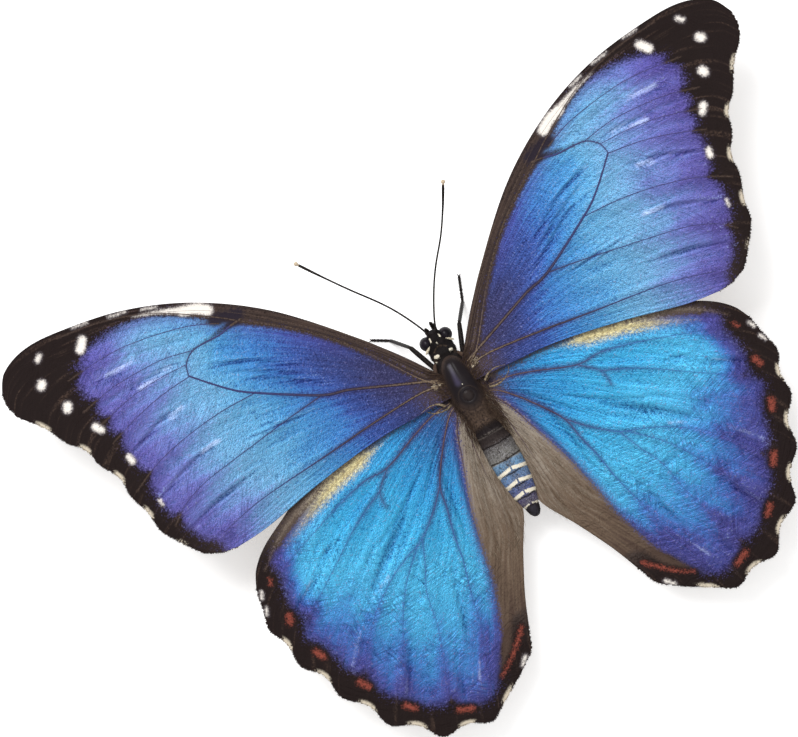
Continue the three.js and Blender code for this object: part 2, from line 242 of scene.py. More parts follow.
def margin(wing, count):
    """The outer margin, from the rear corner through the lobes where the veins end to the front one."""
    lobes, depths = np.array(wing["lobes"], float), np.array(wing["bays"])
    turns = np.linspace(0, len(depths), count)
    bay = np.minimum(turns.astype(int), len(depths) - 1)
    start, step = lobes[bay], lobes[bay + 1] - lobes[bay]
    inward = unit(np.column_stack([-step[:, 1], step[:, 0]]))
    edge = start + step * (turns - bay)[:, None] + inward * (depths[bay] * wave(turns - bay))[:, None]
    reach = 3 * round(LOBE_ROUNDING * count)
    soft = hump(np.arange(-reach, reach + 1), LOBE_ROUNDING * count)
    padded = np.pad(edge, ((reach, reach), (0, 0)), "reflect", reflect_type="odd")
    return np.column_stack([np.convolve(column, soft / soft.sum(), "valid") for column in padded.T])


def wing_plan(wing):
    """Every place on a wing, stretched between its costa, its inner margin, its root and its outer margin."""
    u = 1 - (1 - np.linspace(0, 1, WING_STEPS[0] + 1)) ** CROWDING
    v = np.linspace(0, 1, WING_STEPS[1] + 1)
    fine = np.linspace(0, 1, 2001)
    front, rear = (sampled(u, fine, smooth_line(wing[edge], len(fine))) for edge in ("costa", "inner"))
    outer = margin(wing, WING_STEPS[1] + 1)
    bulge = outer - (outer[0] + (outer[-1] - outer[0]) * v[:, None])
    plan = rear[:, None] + (front - rear)[:, None] * v[None, :, None] + bulge[None] * u[:, None, None]
    across, out = np.meshgrid(v, u)
    return plan.reshape(-1, 2), out.ravel(), across.ravel()


def marks(plan, courses, reach=3.0):
    """How deep each place lies inside the nearest of some marks, in millimetres, and below 0 outside them."""
    depth = np.full(len(plan), -reach)
    for points, start, end in courses:
        line = smooth_line(points, 5 * len(points))
        near = near_line(line, plan, reach)
        gap, _, along = from_line(line, plan[near])
        depth[near] = np.maximum(depth[near], start + (end - start) * along - gap)
    return depth


def creases(plan, folds):
    """The profile of the folds: a groove with a lip on its left, in millimetres."""
    profile = np.zeros(len(plan))
    for points, width, depth in folds:
        line = smooth_line(points, 24)
        near = near_line(line, plan, 2)
        gap, side, along = from_line(line, plan[near])
        fade = np.sin(np.pi * np.clip(along, 0.03, 0.97)) ** 0.5
        profile[near] -= depth * fade * (hump(gap, width) - 1.5 * side * gap / width * np.exp(-gap / width))
    return profile


def wing_fields(wing):
    """All that the finish and the relief need to know at each place on a wing."""
    plan, u, v = wing_plan(wing)
    bays = len(wing["bays"])
    front = inside(smooth_line(wing["front_edge"], 90), plan)
    border = inside(smooth_line(wing["border"], 90), plan)
    edge = from_line(margin(wing, 300), plan)[0]
    vein = -marks(plan, [(points, 0, 0) for points, _, _ in wing["veins"]])
    out = np.hypot(*(plan - wing["hinge"]).T)
    young, younger_by = wing["young"]
    ripeness = out / (out + np.maximum(border, 0) + 1e-6)
    ripeness -= younger_by * ease(marks(plan, young, 8.0), -4, 2) * (1 - ease(ripeness, 0.88, 1))
    ripeness += wing["veined"] * (hump(vein, 1.1) - 0.3) * ease(ripeness, 0.5, 0.8)
    blue = np.minimum(border, front)
    blue -= wing["scallop"] * hump(vein, 0.6) * (1 - ease(blue, 0, 3))
    smoke = marks(plan, wing.get("smoke", ()), 8.0)
    if "fold_edge" in wing:
        smoke = np.maximum(smoke, np.minimum(inside(smooth_line(wing["fold_edge"], 60), plan), edge - 2.6))
    return {
        "plan": plan,
        "u": u,
        "across": v,
        "out": out,
        "blue": blue,
        "front": front,
        "ripeness": ripeness,
        "edge": edge,
        "vein": vein,
        "smoke": smoke,
        "crease": creases(plan, wing["folds"]),
        # 1 where fine parallel pleats lie alongside the folds, painted as streaks of light and shade only.
        "pleat": ease(marks(plan, [(points, 0.9, 0.9) for points, _, _ in wing["folds"]]), -0.6, 0.9),
        "notch": wave(v * bays) * np.array(wing["creams"])[np.minimum((v * bays).astype(int), bays - 1)],
        # How far each place is from the middle of the nearest eyespot, in that spot's own radii.
        "ring": np.min([np.hypot(*(plan - (x, y)).T) / radius for x, y, radius in wing["eyespots"]], axis=0),
    } | {name: marks(plan, wing.get(name, ())) for name in ("pale", "frost", "rust", "sand", "soot")}


def wing_relief(fields):
    """The height of the cells, folds and wrinkles on a wing, in millimetres."""
    plan, vein, out = fields["plan"], fields["vein"], fields["out"]
    crossways = np.column_stack([out / 0.9, np.arctan2(plan[:, 1], plan[:, 0]) * out / 2.6])
    relief = 0.07 * (1 - 2 * ease(vein, 0, 2.4)) * ease(out, 4, 20) + fields["crease"]
    relief += 0.045 * ease(out, 14, 30) * ease(vein, 0.1, 0.8) * ripple(crossways, 1.0, 3.7)
    return relief + 0.05 * ripple(plan, 3.5, 8.1) * ease(out, 6, 16)


def turned(plan, wing, swing, shift):
    """The plan with the wing swung forward about its hinge, in degrees, and then slid."""
    hinge = np.array(wing["hinge"])
    c, s = math.cos(math.radians(swing)), math.sin(math.radians(swing))
    return (plan - hinge) @ np.array([[c, s], [-s, c]]) + hinge + np.array(shift)


def wing_height(plan, wing):
    """The height of a wing's middle over the plan. Its rear inner edge curls down round the abdomen."""
    x, y = plan.T
    out = np.maximum(0, x - HINGE_X)
    lengthwise = np.where(y > 0, FRONT_DROOP * (y / FRONT_REACH) ** 2, REAR_DROOP * (y / REAR_REACH) ** 2)
    tucked = 0.9 * (1 - ease(x, 2.2, 5.5)) * ease(-y, 3, 9)
    return (HINGE_Z - wing.get("drop", 0) + out * math.tan(DIHEDRAL) - TIP_DROOP * (out / WING_REACH) ** 2
            - lengthwise - tucked)


def new_piece(name, mesh):
    piece = bpy.data.objects.new(name, mesh)
    bpy.context.scene.collection.objects.link(piece)
    return piece


def face_outwards(bm, mesh):
    """Turns all the faces outwards, and writes them into the mesh."""
    bmesh.ops.recalc_face_normals(bm, faces=bm.faces[:])
    bm.to_mesh(mesh)
    bm.free()


def mesh_object(name, bm):
    mesh = bpy.data.meshes.new(name)
    face_outwards(bm, mesh)
    return new_piece(name, mesh)


def recalculated(mesh):
    """Turns the faces outwards again once the corners of a mesh have been moved."""
    bm = bmesh.new()
    bm.from_mesh(mesh)
    face_outwards(bm, mesh)


def corners_of(mesh):
    return read(mesh.vertices, "co", 3, np.float32).reshape(-1, 3).astype(float)


def set_corners(mesh, places):
    mesh.vertices.foreach_set("co", places.astype(np.float32).ravel())
    mesh.update()


def keep_fields(mesh, fields):
    """Stores numbers at each corner for the finish to read."""
    for name, values in fields.items():
        mesh.attributes.new(name, "FLOAT", "POINT").data.foreach_set("value", values.astype(np.float32))


def faces_of(mesh):
    """The vertex at each corner, where the corners of each face start, and the face of each corner."""
    corner, start = read(mesh.loops, "vertex_index"), read(mesh.polygons, "loop_start")
    return corner, start, np.repeat(np.arange(len(start)), np.diff(np.append(start, len(corner))))


def keep_map(mesh, places):
    mesh.uv_layers.new(name="OFBake").data.foreach_set("uv", places.astype(np.float32).ravel())


def fit(piece, finish, mirror=1):
    """Sets a piece in its place, makes it smooth and gives it its finish."""
    set_corners(piece.data, in_place(corners_of(piece.data), mirror))
    if mirror < 0:
        piece.data.flip_normals()
    piece.data.polygons.foreach_set("use_smooth", np.ones(len(piece.data.polygons), bool))
    piece.data.materials.append(finish)


def wing_surface(wing, fields, relief, swing, shift):
    """Where each place on the plan ends up, the height of the membrane's middle there, and its thickness."""
    plan = turned(fields["plan"], wing, swing, shift)
    stiff = hump(1 - fields["across"], COSTA_SHARE) * (1 - fields["u"])
    rim = np.minimum(1, fields["edge"] / 0.5) * 0.5 + 0.5
    middle = wing_height(plan, wing) + relief * ease(fields["edge"], 0, 1)
    return plan, middle, (MEMBRANE + (COSTA - MEMBRANE) * stiff) * rim


MAP_EDGE, MAP_WIDTH, MAP_HEIGHT = 0.01, 0.98, 0.475  # where each half of the OFBake map lies, and its size
RIM_OUTSET = 0.004  # the strip of that map that the wing's rim takes


def on_wing_map(i, j, upper):
    """A place of the wing's grid on its OFBake map, where each face of the wing has a half of its own."""
    return np.column_stack([MAP_EDGE + MAP_WIDTH * i / WING_STEPS[0],
                            MAP_EDGE + MAP_HEIGHT * j / WING_STEPS[1] + 0.5 * upper])


def make_wing(name, fields, surface):
    """A closed wing with a field of its own for every mark."""
    bm = bmesh.new()
    bmesh.ops.create_grid(bm, x_segments=WING_STEPS[0], y_segments=WING_STEPS[1], size=0.5)
    lifted = bmesh.ops.extrude_face_region(bm, geom=bm.faces[:], use_keep_orig=True)["geom"]
    bmesh.ops.translate(bm, verts=[v for v in lifted if isinstance(v, bmesh.types.BMVert)], vec=(0, 0, 1))
    piece = mesh_object(name, bm)
    mesh = piece.data
    grid = corners_of(mesh)
    i, j = (np.rint((grid[:, k] + 0.5) * WING_STEPS[k]).astype(int) for k in (0, 1))
    upper = grid[:, 2] > 0.5
    at = i * (WING_STEPS[1] + 1) + j
    plan, middle, thickness = surface
    set_corners(mesh, np.column_stack([plan[at], middle[at] + np.where(upper, 0.5, -0.5) * thickness[at]]))
    keep_fields(mesh, {name: values[at] for name, values in fields.items() if name not in ("plan", "u")})
    keep_fields(mesh, {"upper": upper.astype(float)})
    corner, face_start, owner = faces_of(mesh)
    on_rim = (np.add.reduceat(upper[corner].astype(int), face_start) % 4 != 0)[owner]
    outset = np.where(on_rim & ~upper[corner], RIM_OUTSET, 0)[:, None]
    keep_map(mesh, on_wing_map(i[corner], j[corner], on_rim | upper[corner]) + outset)
    return piece


class Mix:
    """A number or a colour that varies over a finish, held as the socket that gives it."""

    def __init__(self, socket):
        self.socket = socket

    def calc(self, operation, *others):
        return node(self.socket.id_data, "Math", 0, dict(enumerate((self, *others))), operation=operation)

    def __add__(self, other):
        return self.calc("ADD", other)

    def __sub__(self, other):
        return self.calc("SUBTRACT", other)

    def __mul__(self, other):
        return self.calc("MULTIPLY", other)

    __radd__, __rmul__ = __add__, __mul__

    def rise(self, low, high, top=1.0):
        """0 where this is up to low, top from high on, and smooth between. Low may be the greater."""
        return node(self.socket.id_data, "MapRange", "Result", {
            "Value": self, "From Min": low, "From Max": high, "To Min": 0.0, "To Max": top,
        }, interpolation_type="SMOOTHSTEP")

    def shades(self, stops):
        """A run of colours as this goes from 0 to 1."""
        ramp = self.socket.id_data.nodes.new("ShaderNodeValToRGB")
        ramp.color_ramp.elements.remove(ramp.color_ramp.elements[0])
        for k, (place, colour) in enumerate(stops):
            element = ramp.color_ramp.elements[0] if k == 0 else ramp.color_ramp.elements.new(place)
            element.position = place
            element.color = srgb(*colour)
        feed(ramp.inputs["Fac"], self)
        return Mix(ramp.outputs["Color"])


def srgb(red, green, blue):
    """A colour as a paint card gives it, in 0 to 255, as the shader takes it."""
    parts = np.array([red, green, blue]) / 255
    return (*np.where(parts < 0.0404, parts / 12.92, ((parts + 0.055) / 1.055) ** 2.4).tolist(), 1)


def feed(socket, value):
    """Sets a socket to a number or a colour, or links a mix to it."""
    if isinstance(value, Mix):
        socket.id_data.links.new(value.socket, socket)
    else:
        socket.default_value = srgb(*value) if isinstance(value, tuple) else value


def node(tree, kind, output, inputs, **settings):
    """What a new node gives, once it has its settings and its inputs."""
    made = tree.nodes.new("ShaderNode" + kind)
    for name, value in settings.items():
        setattr(made, name, value)
    for name, value in inputs.items():
        feed(made.inputs[name], value)
    return Mix(made.outputs[output])


def paint(under, *layers, mode="MIX"):
    """Layers painted over a colour one after the other, each (how thickly, the colour)."""
    for amount, over in layers:
        tree = next(value.socket.id_data for value in (under, amount, over) if isinstance(value, Mix))
        inputs = {"Factor": amount, "A": under, "B": over}
        under = node(tree, "Mix", "Result", inputs, data_type="RGBA", blend_type=mode)
    return under


class Finish:
    """A finish being mixed: a material with one shader, and the fields and speckles to mix it from."""

    def __init__(self, name, roughness, specular):
        self.material = bpy.data.materials.new(name)
        self.material.use_nodes = True
        self.tree = self.material.node_tree
        self.wear({"Roughness": roughness, "Specular IOR Level": specular})

    def wear(self, inputs):
        for name, value in inputs.items():
            feed(self.tree.nodes["Principled BSDF"].inputs[name], value)
        return self.material

    def fields(self, *names):
        """What is stored under each name at the corners of the piece."""
        return [node(self.tree, "Attribute", "Fac", {}, attribute_name=name) for name in names]

    def places(self):
        return node(self.tree, "TexCoord", "Object", {})

    def noise(self, places, scale, detail, wander=0.0):
        """Noise over some places, centred on 0. Wander bends its shapes."""
        inputs = {"Vector": places, "Scale": scale, "Detail": detail, "Distortion": wander}
        return node(self.tree, "TexNoise", "Fac", inputs) - 0.5

    def speckle(self, size, detail=1.0):
        """Spots about that many millimetres across."""
        return self.noise(self.places(), 1 / (size * IN_METRES), detail)

    def streaks(self, across_step, out_step, detail=2.0, chevron=0.0, wander=0.0):
        """Streaks on a wing, that many millimetres long across the veins and outwards."""
        across, out, vein = self.fields("across", "out", "vein")
        places = node(self.tree, "CombineXYZ", "Vector", {
            "X": across * (CHORD / across_step), "Y": (vein * chevron + out) * (1 / out_step)})
        return self.noise(places, 1.0, detail, wander)

    def bump(self, strength, depth, height, invert=False):
        inputs = {"Strength": strength, "Distance": depth * IN_METRES, "Height": height}
        return node(self.tree, "Bump", "Normal", inputs, invert=invert)


# Painted light and shade over the blue scales, from painted shade up to a painted highlight.
PAINTED_SHADE_TO_LIGHT = [(0.0, (112, 116, 150)), (0.3, (196, 198, 210)), (0.52, (236, 236, 236)),
                (1.0, (255, 255, 255))]
UNDERSIDE = [(0.0, (112, 92, 74)), (0.2, (96, 74, 58)), (0.28, (70, 52, 41)), (0.33, (122, 100, 80)),
             (0.5, (98, 74, 57)), (0.58, (64, 47, 38)), (0.62, (150, 132, 108)), (0.68, (84, 63, 50)),
             (0.95, (74, 55, 44))]
EYE_RINGS = (  # from the outside in: where each ring starts and is full, in the spot's radii, and its colour
    (1.3, 1.2, (44, 32, 27)), (1.16, 1.06, (146, 122, 92)), (1.0, 0.92, (206, 168, 84)),
    (0.74, 0.66, (28, 21, 24)), (0.34, 0.26, (92, 66, 98)), (0.16, 0.09, (226, 222, 212)))
MARGIN_LINES = (  # how far each line is from the margin, its half width and its colour
    (3.4, 0.28, (150, 96, 66)), (2.0, 0.3, (182, 164, 138)), (1.2, 0.2, (120, 98, 80)))
BORDER_BLACK = (30, 21, 20)
FRINGE_CREAM = (206, 194, 174)
FOLD_GREYS = [(0.04, (92, 79, 70)), (0.17, (142, 132, 120)), (0.35, (121, 108, 95)), (0.6, (98, 82, 68)),
              (0.9, (72, 57, 49))]


def wing_finish(name, blues, strip, black_from, creased, pleat_shade, root_reach):
    """Scaly wing: blue above with a dark border and its marks, and brown below with eyespots and bands."""
    finish = Finish(name, 0.5, 0.1)
    fine, dust, cloud = finish.speckle(0.19), finish.speckle(0.4, 2), finish.speckle(4, 2)
    out, across, blue, front, edge, vein, smoke, ripeness = finish.fields(
        "out", "across", "blue", "front", "edge", "vein", "smoke", "ripeness")
    pale, frost, rust, sand, soot, pleat, crease, notch, ring, upper = finish.fields(
        "pale", "frost", "rust", "sand", "soot", "pleat", "crease", "notch", "ring", "upper")
    grain = 1.4 * fine + dust
    streak = finish.streaks(0.8, 9)
    puckers = finish.streaks(2.4, 0.75, 2, 0.8, 0.9) + 1.2 * finish.streaks(3.2, 1.5, 2, -0.5, 0.7)
    wrinkled = puckers * (2.6 * finish.speckle(4, 1) + 0.7) * ripeness.rise(0.3, 0.75, creased)
    # Painted shade of the folds and pleats: light lips and dark grooves, painted into the colour.
    painted_fold_shade = pleat_shade * (finish.streaks(0.5, 13, 1) * pleat) + 1.6 * crease

    # Painted light: sheen bands along the streaks, and light and shade on the wrinkles, folds and pleats.
    tone = ripeness + 0.1 * cloud + 0.14 * streak + 0.09 * grain - 0.1 * wrinkled
    light = 0.75 * grain + 0.5 + 0.45 * streak + 0.55 * wrinkled + painted_fold_shade
    scales = paint(tone.shades(blues), (1.0, light.shades(PAINTED_SHADE_TO_LIGHT)), mode="MULTIPLY")
    # The blue darkens to violet along the veins near the root, and beside a bare fold.
    thin = (0.5 * grain + vein).rise(0.85, 0.1) * out.rise(36, 6, 0.72) + vein.rise(0.35, 0.0, 0.15)
    scales = paint(
        scales,
        # A pale blue highlight, painted where that painted light is brightest.
        ((0.3 * grain + light).rise(0.75, 1.15, 0.4), (168, 200, 232)),
        (thin, (48, 46, 84)),
        ((0.8 * grain + smoke).rise(-1.9, 0.1, 0.8), (62, 63, 118)),
        ((0.8 * grain + front).rise(3.4, 0.2, 0.5) * out.rise(10, 20), (70, 66, 136)),
        # Pale glints painted along ridges and creases.
        ((2.4 * streak + 0.6 * grain + frost).rise(-0.4, 0.9, 0.75), (180, 196, 232)),
        ((3.5 * grain + out).rise(root_reach, 0.8, 0.92), (66, 54, 52)),
    )

    # The bare strip along the leading edge runs into the black border. Its veins are tan, with brown between.
    ribs = (blue * -1.0).calc("PINGPONG", 0.42).rise(0.14, 0.02) * blue.rise(0.1, -0.2)
    dark = paint(
        strip,
        (out.rise(black_from, black_from + 9), BORDER_BLACK),
        (grain.rise(-0.3, 0.5, 0.8), (26, 18, 17)),
        (ribs * out.rise(black_from + 14, 4, 0.5) * grain.rise(-0.3, 0.2), (108, 92, 78)),
        (streak.rise(0.02, 0.22, 0.55) * grain.rise(-0.25, 0.3), (88, 70, 60)),
        ((0.3 * grain + vein).rise(0.22, 0.05, 0.35), (84, 68, 60)),
    )
    ragged = 1.5 * grain + blue

    # The broad fold is grey where it is bare, and the other marks lie over the scales.
    age = 0.75 * finish.streaks(0.6, 6, 3) + 0.2 * grain + 0.025 * out - 0.45 * across.rise(0.6, 0.8)
    age = age + out.rise(33, 40, 0.4)
    grit = paint((164, 146, 94), (dust.rise(-0.2, 0.2), (202, 190, 140)), (out.rise(23, 31), (128, 118, 118)))
    rusty, pallid = 0.9 * grain + rust, 0.42 * grain + pale
    lip = 0.3 * grain + edge
    fringe = (0.5 * grain + notch).rise(0.66, 0.95) * lip.rise(0.7, 0.25, 0.9)
    coat = paint(
        dark,
        (ragged.rise(-1.0, 0.8), scales),
        (grain.rise(0.16, 0.3) * blue.rise(-2.2, -0.2, 0.5), (86, 78, 124)),
        # The forewing's black patch, and on the hindwing a painted shadow under the forewing's rear edge.
        ((0.8 * grain + soot).rise(-0.5, 0.4, 0.95), (36, 30, 40)),
        ((1.1 * grain + smoke).rise(-0.5, 0.5), age.shades(FOLD_GREYS)),
        ((1.3 * grain + sand).rise(-0.8, 0.9, 0.92), grit),
        (rusty.rise(-0.9, -0.2, 0.8), BORDER_BLACK),
        (rusty.rise(-0.4, 0.55, 0.8), (150, 74, 60)),
        (pallid.rise(-0.5, 0.1, 0.35), (120, 112, 118)),
        (pallid.rise(-0.25, 0.42), (232, 225, 217)),
        (fringe, FRINGE_CREAM),
    )

    # The underside: brown, with pale lines along the margin, darker bands and ringed eyespots.
    ringed = 0.05 * grain + ring
    lines = [((lip - place).calc("ABSOLUTE").rise(width, 0.4 * width, 0.9), colour)
             for place, width, colour in MARGIN_LINES]
    below = paint(
        (0.03 * grain + (0.12 * cloud + ripeness)).shades(UNDERSIDE),
        (grain.rise(-0.3, 0.4, 0.6), (58, 43, 35)),
        (vein.rise(0.22, 0.1, 0.5), (48, 36, 30)),
        *((ringed.rise(start, full), colour) for start, full, colour in EYE_RINGS),
        *lines,
        (fringe, FRINGE_CREAM),
    )

    above = upper.rise(0.4, 0.6)
    scaly = 0.5 * (ragged.rise(-0.2, 0.4) * smoke.rise(0.2, -0.4) * above)
    return finish.wear({
        "Base Color": paint(below, (above, coat)),
        "Metallic": scaly,
        "Roughness": -0.6 * scaly + 0.75,
        "Normal": finish.bump(0.8, 0.17, 0.9 * streak + (3.0 * wrinkled + 0.4 * grain)),
    })


BAR_SPACING = 4  # how far apart the balls stand that the bars are drawn out of
VEIN_PROUD = 0.02  # how far the thinnest vein stands proud of the membrane
VEIN_ROOT = (3, 1)  # where the veins fan out from
VEIN_REACH = 50.0  # how far out their colours run


def bars(name, courses, rings=48, sides=8, up=(0, 0, 1), tones=None):
    """Closed bars: the line of each, and its half width, half height and tone at each place on it."""
    bm = bmesh.new()
    for k in range(len(courses)):
        bmesh.ops.create_uvsphere(bm, u_segments=sides, v_segments=rings, radius=1,
                                  matrix=Matrix.Translation((0, 0, BAR_SPACING * k)))
    piece = mesh_object(name, bm)
    ball = corners_of(piece.data)
    which = np.rint(ball[:, 2] / BAR_SPACING).astype(int)
    reach = np.arccos(np.clip(ball[:, 2] - BAR_SPACING * which, -1, 1)) / math.pi
    around = np.hypot(ball[:, 0], ball[:, 1]) > 1e-3
    angle = np.arctan2(ball[:, 1], ball[:, 0])
    places, tone = np.empty_like(ball), np.zeros(len(ball))
    for k, (line, wide, tall) in enumerate(courses):
        own = which == k
        at = np.clip((reach[own] * rings - 1) / (rings - 2), 0, 1) * (len(line) - 1)
        marks = tones[k] if tones else np.zeros(len(line))
        shape = np.column_stack([line, np.gradient(line, axis=0), wide, tall, marks])
        shape = sampled(at, np.arange(len(line)), shape)
        way, half_size, tone[own] = shape[:, 3:6], shape[:, 6:8], shape[:, 8]
        sideways = unit(np.cross(way, up))
        turn = np.column_stack([np.cos(angle[own]), np.sin(angle[own])]) * around[own][:, None]
        aside, raised = (half_size * turn).T[..., None]
        places[own] = shape[:, :3] + sideways * aside + unit(np.cross(sideways, way)) * raised
    set_corners(piece.data, places)
    keep_fields(piece.data, {"crown": np.sin(angle) * around, "tone": tone})
    recalculated(piece.data)
    return piece


def vein_bars(name, wing, fields, relief, swing, shift):
    """Half-buried bars, a little proud of both faces. Their tone is 1 off the blue and 2 at the root."""
    courses, tones = [], []
    for points, start, end in wing["veins"] + [wing["root_ring"]]:
        line = smooth_line(points, 160)
        line = line[from_line(margin(wing, 200), line)[0] > 0.4]
        nearest = np.array([np.argmin(((fields["plan"] - p) ** 2).sum(1)) for p in line])
        plan = turned(line, wing, swing, shift)
        height = wing_height(plan, wing) + relief[nearest] * ease(fields["edge"][nearest], 0, 1)
        radius = np.linspace(start, end, len(line))
        courses.append((np.column_stack([plan, height]), radius, MEMBRANE / 2 + VEIN_PROUD + 0.4 * radius))
        bare = 1 - ease(fields["blue"][nearest], -0.6, 0.4)
        tones.append(np.maximum(bare, ease(fields["smoke"][nearest], -0.4, 0.2)))
    tones[-1] = np.full(len(tones[-1]), 2.0)
    piece = bars(name, courses, 60, 6, tones=tones)
    keep_fields(piece.data, {"out": np.hypot(*(corners_of(piece.data)[:, :2] - VEIN_ROOT).T)})
    return piece


def vein_finish(name, sides, crest_tan_and_highlight, off_blue):
    """Brown veins with a tan crest near the root, partly a painted highlight, thinly blue-scaled further out.
    """
    finish = Finish(name, 0.6, 0.15)
    out, crown, tone = finish.fields("out", "crown", "tone")
    far, grain = out * (1 / VEIN_REACH), finish.speckle(0.25)
    ring = paint((80, 68, 56), (grain.rise(-0.15, 0.15), (138, 123, 98)))
    return finish.wear({"Base Color": paint(
        far.shades(sides),
        # A tan crest along each vein's top: partly the vein's own tan, partly a painted highlight.
        ((0.8 * grain + crown).rise(0.6, 1.1), far.shades(crest_tan_and_highlight)),
        ((0.3 * grain + tone).rise(0.2, 0.8) * out.rise(8, 16), off_blue(far, grain)),
        (tone.rise(1.4, 1.6), ring),
        (crown.rise(0.1, -0.3), (60, 45, 36)),
    )})


held = {}  # the fields and the surface of each wing, for the hairs that grow on it


def pair_of_wings(kind, wing, finish, veins_finish, poses, younger):
    """Both wings of a pair, with their veins."""
    fields = wing_fields(wing)
    relief = wing_relief(fields)
    for side, mirror in MIRROR.items():
        surface = wing_surface(wing, fields, relief, *poses[side])
        held[kind, side] = (fields, surface)
        shown = fields | {"ripeness": fields["ripeness"] - younger[side]}
        scaled = make_wing(f"{kind}_scaled_{side}", shown, surface)
        fit(scaled, finish, mirror)
        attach(scaled, "root")
        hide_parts(f"{kind}_{side}")
        veins = vein_bars(f"{kind}_veins_{side}", wing, fields, relief, *poses[side])
        fit(veins, veins_finish, mirror)
        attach(veins, "root")


FOREWING_BLUES = [
    (0.05, (58, 58, 94)), (0.13, (55, 62, 109)), (0.21, (54, 70, 130)), (0.29, (57, 87, 157)),
    (0.37, (59, 116, 180)), (0.49, (71, 139, 191)), (0.58, (94, 159, 200)), (0.7, (106, 160, 198)),
    (0.78, (105, 142, 189)), (0.85, (102, 116, 178)), (0.93, (90, 88, 155)), (1.0, (79, 71, 135)),
]
FOREWING_POSE = {"right": (0, (0, 0)), "left": (3.5, (0, -0.5))}  # the swing forward, and the slide
FOREWING_YOUNGER = {"right": 0, "left": 0.03}  # the deep blue reaches further out on the left forewing
forewing_finish = wing_finish("forewing scales", FOREWING_BLUES, strip=(56, 45, 42), black_from=36,
                              creased=0.35, pleat_shade=1.6, root_reach=5.6)
forewing_vein_finish = vein_finish(
    "forewing vein",
    [(0.0, (42, 31, 31)), (0.3, (42, 36, 56)), (0.6, (50, 54, 98)), (0.95, (54, 46, 84))],
    [(0.0, (132, 115, 92)), (0.1, (106, 89, 74)), (0.3, (70, 59, 66)), (0.5, (54, 60, 106)),
     (0.95, (60, 54, 92))],
    lambda far, grain: paint((46, 35, 31), (grain.rise(-0.15, 0.15), (82, 67, 58))))
pair_of_wings("forewing", FOREWING, forewing_finish, forewing_vein_finish, FOREWING_POSE, FOREWING_YOUNGER)

# ---------------------------------------------------------------- the hindwings
# The hindwing is hinged behind the forewing and lies under its rear edge. It is made in the same way, with a
# broad grey fold along the abdomen that has no blue scales, and rust-coloured marks in its dark border.

